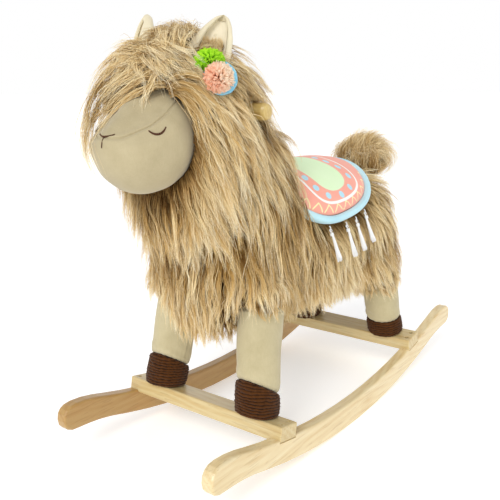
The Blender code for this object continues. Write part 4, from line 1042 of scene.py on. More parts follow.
def make_tail():
    """Locks rise from the tail's short core, arch over and fall all round it, the inner ones curled up."""
    rng = np.random.default_rng(991)
    count, steps = 190, 22
    angle = rng.uniform(0, 2 * math.pi, count)
    size = rng.uniform(0.30, 1.0, count) ** 0.8
    heading = np.stack([np.cos(angle), np.sin(angle), 0 * angle], -1)
    width = (0.0345 + 0.003 * np.sin(angle)) * size
    height = 0.050 * (1 - 0.50 * size**2) * rng.uniform(0.80, 1.06, count)
    curled = rng.uniform(size=count) < 0.30
    end = np.where(curled, rng.uniform(230, 330, count), rng.uniform(120, 205, count))
    wild = (rng.uniform(size=count) < 0.26) & ~curled
    size = np.where(wild, size * rng.uniform(1.05, 1.55, count), size)
    width = np.where(wild, width * rng.uniform(1.05, 1.55, count), width)
    end = np.where(wild, rng.uniform(85, 150, count), end)
    t = np.linspace(0, 1, steps)[None]
    turn = np.radians(end)[:, None] * t
    shrink = np.where(curled[:, None], 1 - 0.55 * t, 1.0)
    run = width[:, None] * (1 - np.cos(turn) * shrink - (1 - shrink) * 0.4)
    up = height[:, None] * np.sin(turn) * shrink
    start = TAIL_CORE + rng.normal(scale=0.0045, size=(count, 3)) * (1, 1, 0.6)
    twist = angle[:, None] + (0.55 + 0.55 * rng.normal(size=count))[:, None] * t
    heading = np.stack([np.cos(twist), np.sin(twist), 0 * twist], -1)
    line = start[:, None] + heading * run[..., None]
    line[..., 2] += up
    sway = np.stack([-np.sin(angle), np.cos(angle), 0 * angle], -1)
    line = line + sway[:, None] * (0.010 * rng.normal(size=count)[:, None] * t**1.5)[..., None]
    gap, way = cover_distance(line.reshape(-1, 3))
    line = (line.reshape(-1, 3) + way * np.maximum(0.0010 - gap, 0)[:, None] * (np.tile(t[0], count) > 0.25)[:, None]).reshape(line.shape)
    # no lock fills the curl, which opens to the left and has rings of hair round it
    eye = np.array((0.040, 0.236, 0.380))
    line = line[np.linalg.norm(line - eye, axis=2).min(1) > 0.0110]
    rings = 46
    around = np.radians(rng.uniform(0, 360, (rings, 1)) + np.where(t < 2, 1, 0) * t * rng.uniform(170, 300, (rings, 1)))
    wide = rng.uniform(0.0095, 0.0200, (rings, 1)) * (1 + 0.25 * t)
    across, upward = unit(np.array((0.45, 0.85, 0.0))), np.array((0.0, 0.0, 1.0))
    inward = np.array((-0.85, 0.45, 0.0))
    ring = eye + across * (np.cos(around) * wide * 1.15)[..., None] + upward * (np.sin(around) * wide)[..., None]
    ring = ring + inward * (rng.uniform(0.000, 0.014, (rings, 1)) + 0.008 * (1 - t))[..., None]
    # the plume: locks from the front over the top to the back, flung out at their ends
    plume = 170
    side = np.clip(rng.normal(scale=0.019, size=(plume, 1)), -0.038, 0.038)
    inner = rng.uniform(0.014, 0.040, (plume, 1)) * np.sqrt(1 - (side / 0.046) ** 2)
    bend = np.radians(rng.uniform(185, 235, (plume, 1)) * (1 - t) + rng.uniform(-45, 50, (plume, 1)) * t)
    wide = inner + 0.007 * t + rng.uniform(-0.004, 0.048, (plume, 1)) * (1 - (side / 0.044) ** 2) * t**2.6
    aslant = rng.normal(scale=0.28, size=(plume, 1)) + 5.0 * side
    arch = np.stack([side * (1 + 0.10 * t) + aslant * wide * np.cos(bend) + 0.008 * rng.normal(size=(plume, 1)) * t**2,
                     0.251 + wide * np.cos(bend), 0.374 + wide * np.sin(bend)], -1)
    clear = np.linalg.norm(arch - eye, axis=2).min(1) > 0.0100
    arch, pale = arch[clear], np.clip((inner[clear, 0] - 0.014) / 0.026, 0, 1)
    line = np.concatenate([line, ring, arch])
    count = len(line)
    size, start, heading = np.concatenate([np.full(count - len(arch), 0.72), 0.75 + 0.75 * pale]), line[:, 0], np.zeros((count, steps, 3))
    # the tail's stem: locks from its sewn root up into the core
    stem = 90
    turn = rng.uniform(0, 2 * math.pi, stem)[:, None]
    wide = rng.uniform(0.006, 0.019, (stem, 1)) * (1 + 0.9 * t**2)
    up = np.stack([np.cos(turn) * wide, 0.246 + np.sin(turn) * wide + 0.008 * t, 0.327 + 0.052 * t * rng.uniform(0.75, 1.0, (stem, 1))], -1)
    line, size = np.concatenate([line, up]), np.concatenate([size, np.full(stem, 0.5)])
    start = np.concatenate([start, up[:, 0]])
    heading = np.concatenate([heading, np.zeros((stem, steps, 3))])
    count += stem
    ways = unit(line - (TAIL_CORE + (0, 0, -0.004)))
    line = wave(line, ways, rng, rng.uniform(0.0010, 0.0030, count), rng.uniform(0.030, 0.060, count))
    # Painted shade: arches that start nearer the core, and the stem's locks hidden inside, get darker strands.
    shade = 0.50 + 0.25 * mottle(start + heading[:, 0] * 0.03, 0.03, 5) + 0.35 * (size - 0.8)
    p, looks, w, u, v = strands(line, ways, rng, 22, 0.0036, rng.uniform(0.0008, 0.0060, count), 0.00070, shade, frizz=0.0018, loose=0.50)
    for part, some in enumerate(np.array_split(np.arange(len(p)), max(1, math.ceil(len(p) / 11500))), 1):
        points, faces, uv = ribbon_arrays(p[some], looks[some], w[some], u[some], v[some])
        put(f"tail_pile_{part}", points, faces, LOOKS["fur"], body="tail", uv=uv)
    print("tail locks", count)


skin_mesh("tail_backing", TAIL_MASSES, 0.0265, 0.0030, LOOKS["backing"], "tail", ("tail",))
make_tail()

# ---------------------------------------------------------------- face
SEAM = ((0, 4.4), (8.3, 3.5), (16, 3.7), (22.7, 4.5), (31, 8.5), (45, 15), (55, 18.8), (65, 25), (78, 31.6), (91, 38.5), (108, 44.3), (121, 46))


def seam_line(side):
    a, e = np.array(SEAM, float).T
    fine = np.linspace(0, len(a) - 1, 240)
    a, e = np.interp(fine, np.arange(len(a)), a), np.interp(fine, np.arange(len(e)), e)
    for _ in range(30):
        a[1:-1] = 0.25 * a[:-2] + 0.5 * a[1:-1] + 0.25 * a[2:]
        e[1:-1] = 0.25 * e[:-2] + 0.5 * e[1:-1] + 0.25 * e[2:]
    return face_way(side * a, e)


def ball_grid(n):
    """Points and quads of a cube's six sides blown up to a ball."""
    t = np.tan(np.linspace(-1, 1, n + 1) * math.pi / 4)
    a, b = np.meshgrid(t, t, indexing="ij")
    points, faces = [], []
    for axis in range(3):
        for sign in (1, -1):
            p = np.zeros((n + 1, n + 1, 3))
            p[..., axis] = sign
            p[..., (axis + 1) % 3] = a
            p[..., (axis + 2) % 3] = b * sign
            faces.append(grid_faces(n + 1, n + 1, base=sum(len(x) for x in points)))
            points.append(unit(p).reshape(-1, 3))
    points, faces = np.concatenate(points), np.concatenate(faces)
    _, first, index = np.unique(np.round(points, 7), axis=0, return_index=True, return_inverse=True)
    return points[first], index.reshape(-1)[faces]


def make_face():
    way, faces = ball_grid(110)
    r = face_radius(way)
    nearest = np.full(len(way), 1e9)
    for side in (1, -1):
        path = seam_line(side)
        for block in range(0, len(way), 4000):
            d = 1 - way[block : block + 4000] @ path.T
            nearest[block : block + 4000] = np.minimum(nearest[block : block + 4000], np.sqrt(2 * np.maximum(d.min(1), 0)) * FACE_R)
    groove = np.exp(-((nearest / 0.0011) ** 2))
    shoulder = np.exp(-(((nearest - 0.0038) / 0.0026) ** 2))
    r = r - 0.00170 * groove + 0.00080 * shoulder
    r = r + 0.00055 * mottle(way * FACE_R, 0.034, 21) * smooth(0, 0.01, nearest)
    points = FACE_CENTRE + way * r[:, None]
    obj = put("face_velour", points, outward(points, faces), LOOKS["face"])
    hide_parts("face")


make_face()


def stitches(name, path, thick, replaced, length=0.0021, lean=0.75):
    """Satin stitch: short threads laid side by side across the line they draw."""
    path = np.asarray(path, float)
    run = np.concatenate([[0], np.cumsum(np.linalg.norm(np.diff(path, axis=0), axis=1))])
    count = max(6, int(run[-1] / 0.00042))
    s = np.linspace(0, run[-1], count)
    mid = np.stack([np.interp(s, run, path[:, k]) for k in range(3)], -1)
    along = unit(np.gradient(mid, axis=0))
    out = unit(mid - FACE_CENTRE)
    across = unit(np.cross(out, along))
    share = s / run[-1]
    half = thick(share)[:, None] / 2
    way = unit(across + along * lean)
    steps = np.linspace(-1, 1, 7)
    lines = mid[:, None] + way[:, None] * (half * steps[None])[..., None]
    lift = 0.00062 * (1 - steps**2 * 0.92)
    lines = lines + out[:, None] * lift[None, :, None]
    radius = 0.00030 * (1 - 0.25 * steps**4)
    points, faces, _ = tubes(lines, np.broadcast_to(radius, lines.shape[:2]), 5)
    obj = put(name, points, faces, LOOKS["thread"])
    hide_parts(replaced)


for side, word in ((1, "left"), (-1, "right")):
    u = np.linspace(-1, 1, 41)
    stitches(f"closed_eye_{word}", on_face(side * (62.0 + 9.8 * u), 8.0 + 1.2 * u + 6.0 * u * u, 0.0002),
             lambda t: 0.0014 + 0.0016 * np.sin(math.pi * np.clip(t, 0, 1)) ** 0.8, f"eye_stitch_{word}")
a = np.linspace(-12, 12, 41)
stitches("nose_embroidery", on_face(a, 5.2 + 2.5 * (np.abs(a) / 12) ** 1.35, 0.0002), lambda t: 0.0018 + 0.0008 * np.cos(2 * math.pi * t) ** 2, "nose_stitch")
e = np.linspace(3.8, -5.6, 25)
stitches("mouth_embroidery", on_face(-0.8 * (3.8 - e) / 9.4, e, 0.0002), lambda t: 0.0015 + 0 * t, "mouth_stitch")

# ---------------------------------------------------------------- legs and hooves
def leg_frame(side, ysign):
    foot, axis = leg_line(side, ysign)
    x = unit(np.array((1.0, 0, 0)) - axis * axis[0])
    y = np.cross(axis, x)
    return foot, axis, x, y


def make_leg(end, ysign, side, word):
    rng = np.random.default_rng(500 + 10 * (ysign > 0) + (side > 0))
    foot, axis, ex, ey = leg_frame(side, ysign)
    tilt = ysign * BAR_TILT
    normal = np.array((0.0, -math.sin(tilt), math.cos(tilt)))
    height = HOOF_FRONT_HEIGHT if end == "front" else HOOF_REAR_HEIGHT
    slant = np.array((0.0, HOOF_FRONT_SLANT if end == "front" else 0.0, 0.0))
    cut = unit(normal + slant)
    turn = np.linspace(0, 2 * math.pi, 97)[:-1]
    ring = ex[None] * np.cos(turn)[:, None] + ey[None] * np.sin(turn)[:, None]

    def height_of(plane_point, plane_normal, radial):
        """How far up the axis the plane cuts, under each point of the ring."""
        return ((plane_point - foot - radial) @ plane_normal) / (axis @ plane_normal)

    join = foot + axis * height
    # corduroy hoof: ribs run round it, its sole and top edge are rolled in
    rows = 120 if end == "front" else 80
    share = np.linspace(0, 1, rows)
    bottom = height_of(foot + normal * 0.0006, normal, ring * HOOF_R)
    ragged = 0.0005 * np.sin(turn * 23 + rng.uniform(0, 6)) + 0.0004 * np.sin(turn * 41 + rng.uniform(0, 6)) - 0.0007
    top = height_of(join - cut * 0.0004, cut, ring * HOOF_R) + ragged
    run = bottom[None] + (top - bottom)[None] * share[:, None]
    # the ribs lie level, so the slanting top edge cuts across them
    level = run - bottom[None]
    around = foot + ring[None] * HOOF_R + axis * run[..., None]
    wobble = 0.55 * mottle(around, 0.030, 70 + int(rng.integers(9))) + 0.30 * mottle(around, 0.010, 83)
    rib = np.abs(np.sin(math.pi * level / 0.0042 + wobble)) ** 0.8
    edge = np.minimum(share[:, None] * (top - bottom)[None], (1 - share)[:, None] * (top - bottom)[None])
    bow = 0.0008 * np.sin(math.pi * share)[:, None]
    rolled = 0.0050 * (1 - np.sqrt(np.clip(1 - (1 - np.clip(edge / 0.0050, 0, 1)) ** 2, 0, 1)))
    rolled = np.where(share[:, None] > 0.5, rolled * 0.45, rolled)
    tufts = 0.00045 * mottle(around, 0.0045, 88) + 0.00035 * mottle(around, 0.0026, 89)
    r = HOOF_R - 0.0008 + bow - rolled + 0.0020 * (rib - 0.65) + tufts
    rib = np.clip(rib + 0.22 * mottle(around, 0.006, 90), 0, 1)
    points = foot + ring[None] * r[..., None] + axis * run[..., None]
    inner_low = points[:1] * 0.25 + (foot + axis * bottom[None, :, None] * 0.98) * 0.75
    inner_low = foot + (inner_low - foot)
    inner_top = foot + ring[None] * 0.0150 + axis * (top[None, :, None] - 0.0006)
    centre_low = foot + normal * 0.0006 + ring[None] * 0.0002
    centre_top = foot + ring[None] * 0.0002 + axis * (height - 0.0008)
    stack = np.concatenate([centre_low, inner_low, points, inner_top, centre_top])
    marks = np.concatenate([np.full((2, 96), 0.3), rib, np.full((2, 96), 0.3)])
    faces = grid_faces(len(stack), 96, True)
    flat = stack.reshape(-1, 3)
    hoof = put(f"corduroy_hoof_{end}_{word}", flat, outward(flat, faces), LOOKS["cord"], marks={"rib": marks.ravel()})
    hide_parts(f"hoof_{end}_{word}")

    # stuffed velour leg: gathered a little where it meets the hoof, a seam down its inner side
    rows = 90
    share = np.linspace(0, 1, rows)
    bottom = height_of(join + cut * 0.0002, cut, ring * LEG_R)
    run = bottom[None] + (LEG_LENGTH[end] - 0.006 - bottom)[None] * share[:, None]
    up = run - bottom[None]
    base = LEG_R + (LEG_TOP_R - LEG_R) * share[:, None]
    tuck = 0.0034 * np.exp(-((up / 0.0028) ** 1.4))
    gathers = 0.00055 * np.exp(-up / 0.010) * np.sin(turn[None] * 17 + 3 * np.sin(turn[None] * 2 + 1))
    buckle = 0.0011 * np.exp(-(((up - 0.013) / 0.009) ** 2)) * np.sin(turn[None] * 2 + up / 0.004 + rng.uniform(0, 6)) * (0.5 + 0.5 * np.sin(turn[None] + rng.uniform(0, 6)))
    buckle += 0.0007 * np.sin(turn[None] * 3 + up / 0.016 + rng.uniform(0, 6)) * smooth(0.0, 0.02, up)
    seam_at = math.pi if side > 0 else 0.0
    off = np.angle(np.exp(1j * (turn - seam_at)))[None] * LEG_R
    seam = 0.0011 * np.exp(-((off / 0.0011) ** 2)) - 0.00035 * np.exp(-(((np.abs(off) - 0.0034) / 0.0022) ** 2))
    r = base - tuck + gathers + buckle - seam
    closing = smooth(0.93, 1.0, share)[:, None]
    r = r * (1 - 0.25 * closing)
    points = foot + ring[None] * r[..., None] + axis * run[..., None]
    start = foot + ring[None] * 0.0150 + axis * (bottom[None, :, None] + 0.0010)
    centre_low = foot + ring[None] * 0.0002 + axis * (height + 0.0010)
    ceiling = foot + ring[None] * 0.0002 + axis * (LEG_LENGTH[end] - 0.006)
    stack = np.concatenate([centre_low, start, points, ceiling])
    faces = grid_faces(len(stack), 96, True)
    flat = stack.reshape(-1, 3)
    leg = put(f"velour_leg_{end}_{word}", flat, outward(flat, faces), LOOKS["velour"])
    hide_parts(f"leg_{end}_{word}")


for end, ysign in (("front", -1), ("rear", 1)):
    for side, word in ((1, "left"), (-1, "right")):
        make_leg(end, ysign, side, word)

# ---------------------------------------------------------------- ears
def ear_half(t):
    return EAR_WIDTH / 2 * 0.90 * np.clip(1 - t**1.8, 0, 1) ** 0.70


def ear_band(place, side, rows, first, last, reach, deep, thick, rim, low, high, inset):
    """A leaf curled round its hollow, like a rolled cone cut open at the front, as closed rings.

    Each ring goes up the outside of the curl from one rim to the other and back on the inside."""
    t = np.linspace(low, high, rows)[:, None]
    turn = np.radians(np.linspace(first, last, 61))[None]
    half = np.maximum(ear_half(t) * reach - inset, 0.0006)
    hollow = deep * (1 - 0.50 * t) * np.minimum(1, half / 0.008)
    middle = side * 0.0070 * t**1.4 - 0.0015 * (side > 0)
    back = 0.0040 + 0.10 * EAR_HEIGHT * t * t
    share = (turn - turn[0, 0]) / (turn[0, -1] - turn[0, 0])
    wall = thick * (1 - 0.35 * t) * (1 + rim * np.exp(-((share / 0.07) ** 2)) + rim * np.exp(-(((1 - share) / 0.07) ** 2)))
    wall = wall * np.minimum(1, half / 0.006) / 2
    x = half * np.sin(turn)
    y = -hollow * np.cos(turn)
    out = np.stack([np.sin(turn) * hollow, -np.cos(turn) * half], -1)
    out = unit(out)
    def layer(sign):
        return np.stack([x + sign * wall * out[..., 0], y + sign * wall * out[..., 1]], -1)
    outer, inner = layer(1), layer(-1)
    def cap(at, way):
        # a round edge between the two walls
        bulge = []
        for angle in np.radians((-60, -30, 0, 30, 60)) * way:
            c, q = math.cos(angle), math.sin(angle)
            mid = np.stack([x[:, at], y[:, at]], -1)
            edge = np.stack([np.cos(turn[:, at]) * half[:, 0], np.sin(turn[:, at]) * hollow[:, 0]], -1)
            edge = unit(edge) * (1 if at else -1)
            bulge.append(mid + out[:, at] * wall[:, at, None] * q + edge * wall[:, at, None] * c)
        return np.stack(bulge, 1)
    ring = np.concatenate([outer, cap(-1, -1), inner[:, ::-1], cap(0, 1)], axis=1)
    flat = np.concatenate([ring[..., :1] + middle[..., None], ring[..., 1:] + back[..., None],
                           np.broadcast_to((EAR_HEIGHT * t + LINING_UP * 0.3)[..., None], ring[..., :1].shape)], -1)
    m = np.array(place)
    points = flat @ m[:3, :3].T + m[:3, 3]
    ends = [points[:1].mean(1, keepdims=True) * 0.5 + points[:1] * 0.5, points[-1:].mean(1, keepdims=True) * 0.9 + points[-1:] * 0.1]
    stack = np.concatenate([ends[0], points, ends[1]])
    faces = grid_faces(len(stack), ring.shape[1], True)
    flat = stack.reshape(-1, 3)
    return flat, outward(flat - flat.mean(0), faces)


def ear_hollow_strands(place, side, word):
    """Short brown strands low in the ear's hollow, which make it darker there."""
    rng = np.random.default_rng(300 + side)
    count = 900
    t = rng.uniform(0.02, 0.30, count)
    turn = np.radians(rng.uniform(-245, -110, count))
    half, hollow = ear_half(t) * 0.80, 0.0085 * (1 - 0.5 * t)
    start = np.stack([half * np.sin(turn) * 0.78 + side * EAR_TIP_OUT * t**1.4, -hollow * np.cos(turn) * 0.5 + 0.0020, EAR_HEIGHT * t], -1)
    way = unit(np.stack([-np.sin(turn) * 0.4, np.full(count, -0.5), np.full(count, 0.9)], -1) + rng.normal(scale=0.22, size=(count, 3)))
    k = np.linspace(0, 1, 5)
    line = start[:, None] + way[:, None] * (k[None] * rng.uniform(0.005, 0.011, count)[:, None])[..., None]
    m = np.array(place)
    line = line @ m[:3, :3].T + m[:3, 3]
    looks = unit(np.broadcast_to(m[:3, :3] @ np.array((0, -1.0, 0.2)), line.shape))
    w = 0.0007 * (1 - 0.8 * k[None] ** 2) * np.ones((count, 1))
    v = 0.25 + 0.45 * k[None] * np.ones((count, 1))
    points, faces, uv = ribbon_arrays(line, looks, w, rng.uniform(0.4, 0.9, count), v)
    put(f"ear_hollow_strands_{word}", points, faces, LOOKS["fur"], body=f"ear_{word}", uv=uv)


for side, word in ((1, "left"), (-1, "right")):
    place = EAR_FRAMES[word]
    turned = (-278, -40) if side > 0 else (-320, -82)
    points, faces = ear_band(place, side, 60, *turned, 1.06, 0.0088, 0.0050, 0.50, 0.0, 0.985, 0.0015)
    points = points + 0.0003 * mottle(points, 0.016, 31)[:, None] * np.array((0.3, 1.0, 0.2))
    ear = put(f"velour_ear_{word}", points, faces, LOOKS["ear"], body=f"ear_{word}")
    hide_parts(f"ear_{word}")
    turned = (-255, -75) if side > 0 else (-285, -105)
    points, faces = ear_band(place, side, 44, *turned, 0.90, 0.0062, 0.0012, 0.0, 0.02, 0.84, 0.0028)
    lining = put(f"velour_lining_{word}", points, faces, LOOKS["lining"], body=f"ear_{word}")
    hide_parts(f"ear_lining_{word}")
    ear_hollow_strands(place, side, word)

# ---------------------------------------------------------------- saddle
# The print's right half, as (across the back, along it) from the saddle's middle
GREEN_EDGE = ((0, .0355), (.0176, .0375), (.0315, .0412), (.0443, .0449), (.0566, .0475), (.0705, .0469), (.0808, .0425), (.0886, .0294),
              (.0921, .011), (.0903, -.0041), (.084, -.0149), (.075, -.0203), (.0626, -.0225), (.0502, -.0243), (.0342, -.0252),
              (.015, -.0256), (0, -.0257))
WHITE_EDGE = ((0, .0640), (.019, .0668), (.0295, .0720), (.0444, .0780), (.0581, .0799), (.0714, .0788), (.083, .0757), (.0925, .068),
              (.1012, .052), (.1055, .0338), (.1078, .0135), (.1071, -.008), (.1033, -.0253), (.0957, -.0367), (.0857, -.0419),
              (.0749, -.0436), (.0656, -.0436), (.0589, -.0432), (.04, -.0425), (.02, -.042), (0, -.0415))
SPOTS = ((.0538, -.0326), (.0755, -.0312), (.0935, -.0189), (.0995, .0106), (.0929, .0428), (.0748, .0617), (.0537, .0616),
         (.0357, .0545), (.0188, .049), (.034, -.0335), (.015, -.0335))


def outline_distance(q, loop):
    """Signed distance from a closed loop in the plane, above 0 inside."""
    a = loop
    b = np.roll(loop, -1, axis=0)
    best = np.full(len(q), 1e9)
    inside = np.zeros(len(q), bool)
    for p0, p1 in zip(a, b):
        e = p1 - p0
        w = q - p0
        h = np.clip((w @ e) / max(e @ e, 1e-12), 0, 1)
        best = np.minimum(best, np.linalg.norm(w - h[:, None] * e, axis=1))
        crosses = (p0[1] > q[:, 1]) != (p1[1] > q[:, 1])
        with np.errstate(divide="ignore", invalid="ignore"):
            at = (p1[0] - p0[0]) * (q[:, 1] - p0[1]) / (p1[1] - p0[1]) + p0[0]
        inside ^= crosses & (q[:, 0] < at)
    return np.where(inside, best, -best)


def rounded(loop, times=40, fine=360):
    loop = np.asarray(loop, float)
    closed = np.concatenate([loop, loop[:1]])
    run = np.concatenate([[0], np.cumsum(np.linalg.norm(np.diff(closed, axis=0), axis=1))])
    s = np.linspace(0, run[-1], fine, endpoint=False)
    made = np.stack([np.interp(s, run, closed[:, k]) for k in (0, 1)], -1)
    for _ in range(times):
        made = 0.25 * np.roll(made, 1, 0) + 0.5 * made + 0.25 * np.roll(made, -1, 0)
    return made


def print_ring(depth, extra, around=720):
    """The line of the print that lies this deep inside the saddle's edge, deeper near the spine."""
    angle = np.linspace(0, 2 * math.pi, around, endpoint=False)
    outer = np.stack(saddle_edge(angle), -1)
    wide = depth * (1 + extra * np.exp(-((outer[:, 0] / 0.062) ** 2)))
    nx, ny = np.gradient(outer[:, 1]), -np.gradient(outer[:, 0])
    length = np.maximum(np.hypot(nx, ny), 1e-12)
    inward = np.stack([-nx / length, -ny / length], -1)
    ring = outer + inward * wide[:, None]
    for _ in range(60):
        ring = 0.25 * np.roll(ring, 1, 0) + 0.5 * ring + 0.25 * np.roll(ring, -1, 0)
    return ring


def make_saddle():
    rows, around = 150, 400
    angle = np.linspace(0, 2 * math.pi, around, endpoint=False)
    share = np.linspace(0.004, 1, rows)
    inner = BORDER_WIDTH + 0.0006
    d, t = saddle_edge(angle, inner)
    q = np.stack([share[:, None] * d[None], share[:, None] * t[None]], -1)
    flat = q.reshape(-1, 2)
    def whole(half):
        half = np.array(half)
        return np.concatenate([half, (half * (-1, 1))[::-1][1:-1]])

    outer = np.stack(saddle_edge(np.linspace(0, 2 * math.pi, 720, endpoint=False)), -1)
    centre = outline_distance(flat, rounded(whole(GREEN_EDGE), 14))
    line = 0.0020 - np.abs(outline_distance(flat, rounded(whole(WHITE_EDGE), 14)))
    dots = np.full(len(flat), -1.0)
    rng = np.random.default_rng(8)
    for x, y in SPOTS:
        for side in (1, -1):
            wide, long_, lean = 0.0054 * rng.uniform(0.94, 1.06), 0.0054 * rng.uniform(0.94, 1.06), rng.uniform(0, 3)
            w = flat - (side * x, y)
            a, b = w @ (math.cos(lean), math.sin(lean)), w @ (-math.sin(lean), math.cos(lean))
            dots = np.maximum(dots, 0.0054 - np.hypot(a * 0.0054 / wide, b * 0.0054 / long_))
    # thin peaks between the border and the line, their feet at the border
    base = print_ring(BORDER_WIDTH + 0.0034, 0.0)
    run = np.concatenate([[0], np.cumsum(np.linalg.norm(np.diff(np.concatenate([base, base[:1]]), axis=0), axis=1))])
    teeth = int(round(run[-1] / 0.0225))
    zig = np.full(len(flat), -1.0)

    def edge_at(position):
        position = position % run[-1]
        return np.array([np.interp(position, run, np.append(base[:, k], base[0, k])) for k in (0, 1)])

    for tooth in range(teeth):
        middle = (tooth + 0.5) * run[-1] / teeth
        left, right = edge_at(middle - 0.0090), edge_at(middle + 0.0090)
        ahead = unit(right - left)
        peak = (left + right) / 2 + np.array((-ahead[1], ahead[0])) * 0.0096
        if outline_distance(peak[None], outer)[0] < outline_distance(((left + right) / 2)[None], outer)[0]:
            peak = (left + right) / 2 - np.array((-ahead[1], ahead[0])) * 0.0096
        for p0, p1 in ((left, peak), (peak, right)):
            e = p1 - p0
            w = flat - p0
            h = np.clip((w @ e) / (e @ e), 0, 1)
            zig = np.maximum(zig, 0.00102 - np.linalg.norm(w - h[:, None] * e, axis=1))
    edge = (1 - share)[:, None] * 0.11
    crown = SADDLE_THICK - 0.0004 - 0.0042 * np.exp(-(edge / 0.0045) ** 1.5) + 0.0 * d[None]
    ditch = np.exp(-((line / 0.0022 - 0.9) ** 2)).reshape(rows, around)
    crown = crown - 0.0004 * ditch + 0.0003 * mottle(np.column_stack([flat, 0 * flat[:, :1]]), 0.045, 40).reshape(rows, around)
    top = on_back(q[..., 0], q[..., 1], crown)
    hem = on_back(d, t, np.full(around, 0.0005))[None]
    under = on_back(q[::-3, :, 0], q[::-3, :, 1], np.full(q[::-3, :, 0].shape, -0.0010))
    stack = np.concatenate([top, hem, under])
    faces = grid_faces(len(stack), around, True)
    marks = {}
    for mark, values in (("centre", centre), ("line", line), ("dots", dots), ("zigzag", zig)):
        grid = values.reshape(rows, around)
        marks[mark] = np.concatenate([grid, np.full((1 + len(under), around), -1.0)]).ravel()
    points = stack.reshape(-1, 3)
    pad = put("printed_saddle", points, outward(points, faces), LOOKS["print"], marks=marks)
    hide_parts("saddle_pad")

    # stuffed border roll
    sides, around = 28, 420
    angle = np.linspace(0, 2 * math.pi, around, endpoint=False)
    turn = np.linspace(0, 2 * math.pi, sides, endpoint=False)
    half_w, half_h = BORDER_WIDTH / 2 - 0.0001, (SADDLE_THICK + 0.0018) / 2
    ripple = 1 + 0.035 * np.sin(angle * 46) * (0.5 + 0.5 * np.sin(angle * 7 + 1))
    rows_ = []
    for a in turn:
        c, s = math.cos(a), math.sin(a)
        across = math.copysign(abs(c) ** 0.80, c)
        upward = math.copysign(abs(s) ** 0.80, s)
        d, t = saddle_edge(angle, half_w - half_w * across)
        lift = half_h - 0.0010 + half_h * upward * ripple - 0.0007 * (across < -0.6)
        rows_.append(on_back(d, t, lift))
    stack = np.stack(rows_)
    faces = grid_faces(sides, around, True)
    last = np.stack([np.arange(around) + (sides - 1) * around, (np.arange(around) + 1) % around + (sides - 1) * around,
                     (np.arange(around) + 1) % around, np.arange(around)], -1)
    faces = np.concatenate([faces, last])
    points = stack.reshape(-1, 3)
    roll = put("saddle_border_roll", points, outward(points, faces), LOOKS["border"])
    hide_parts("saddle_border")


make_saddle()

# ---------------------------------------------------------------- tassels
def drape_at(along):
    share = min(1.0, abs(along) / SADDLE_REACH[0 if along < 0 else 1])
    return SADDLE_HALF_DRAPE * (1 - share**SADDLE_POWER) ** (1 / SADDLE_POWER)


def make_tassel(side, word, number, y):
    rng = np.random.default_rng(900 + number + 10 * (side > 0))
    along = y - SADDLE_Y
    hang = on_back(drape_at(along) + 0.0004, along, 0.0030)
    hang = hang + np.array((0.0052, 0, -0.0030))
    hang[0] *= side
    axis = unit(np.array((-side * math.sin(TASSEL_LEAN), -0.03, math.cos(TASSEL_LEAN))))
    x = unit(np.array((1.0, 0, 0)) - axis * axis[0])
    yv = np.cross(axis, x)

    def world(p):
        return hang + p[..., :1] * x + p[..., 1:2] * yv + p[..., 2:3] * axis

    points, faces, base = [], [], 0

    def add(lines, radius, sides):
        nonlocal base
        made, quads, _ = tubes(lines, radius, sides)
        points.append(world(made))
        faces.append(quads + base)
        base += len(made)

    # twisted loop over the border's edge
    k = np.linspace(0, 1, 30)
    for strand in (0, 1):
        turn = k * 2 * math.pi * 2.5 + strand * math.pi
        loop = np.stack([0.0005 * np.cos(turn), 0.0016 * np.sin(2 * math.pi * k) + 0.0005 * np.sin(turn), 0.0016 - 0.0105 * k], -1)
        add(loop[None], np.full((1, 30), 0.00055), 6)
    for lobe in (1, -1):
        a = np.linspace(0, 2 * math.pi, 20)
        bow = np.stack([0.0004 * np.sin(a * 2), lobe * (0.0016 - 0.0016 * np.cos(a)), -0.0050 + 0.0017 * np.sin(a)], -1)
        add(bow[None], np.full((1, 20), 0.00048), 6)
    # wrapped neck
    a = np.linspace(0, 2 * math.pi * 5, 90)
    wrap = np.stack([0.0023 * np.cos(a), 0.0023 * np.sin(a), -0.0092 - 0.0042 * a / a[-1]], -1)
    add(wrap[None], np.full((1, 90), 0.00058), 6)
    # skirt of cut yarn
    strands_ = 46
    ang = rng.uniform(0, 2 * math.pi, strands_)
    rad = np.sqrt(rng.uniform(0.02, 1, strands_))
    t = np.linspace(0, 1, 12)[None]
    length = (TASSEL_LENGTH - 0.0095) * rng.uniform(0.90, 1.0, strands_)[:, None]
    flare = 0.0013 + 0.0036 * t**1.1
    r = rad[:, None] * flare + 0.00025 * np.sin(t * rng.uniform(6, 14, (strands_, 1)) + rng.uniform(0, 6, (strands_, 1))) * t
    sway = 0.0010 * np.sin(2.4 * t + number)
    skirt = np.stack([np.cos(ang)[:, None] * r * 0.72, np.sin(ang)[:, None] * r + sway, -0.0095 - length * t], -1)
    add(skirt, np.full((strands_, 12), 0.00050), 5)
    # the bundle's full middle
    t = np.linspace(0, 1, 12)
    add(np.stack([0 * t, 0.0010 * np.sin(2.4 * t + number), -0.0085 - 0.0380 * t], -1)[None], (0.0010 + 0.0012 * t)[None], 10)
    obj = put(f"yarn_tassel_{word}_{number}", np.concatenate(points), np.concatenate(faces), LOOKS["white"],
              body=f"tassel_{word}_{number}")
    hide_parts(f"tassel_{word}_{number}")


for side, word in ((1, "left"), (-1, "right")):
    for number, y in enumerate(TASSEL_Y, 1):
        make_tassel(side, word, number, y)

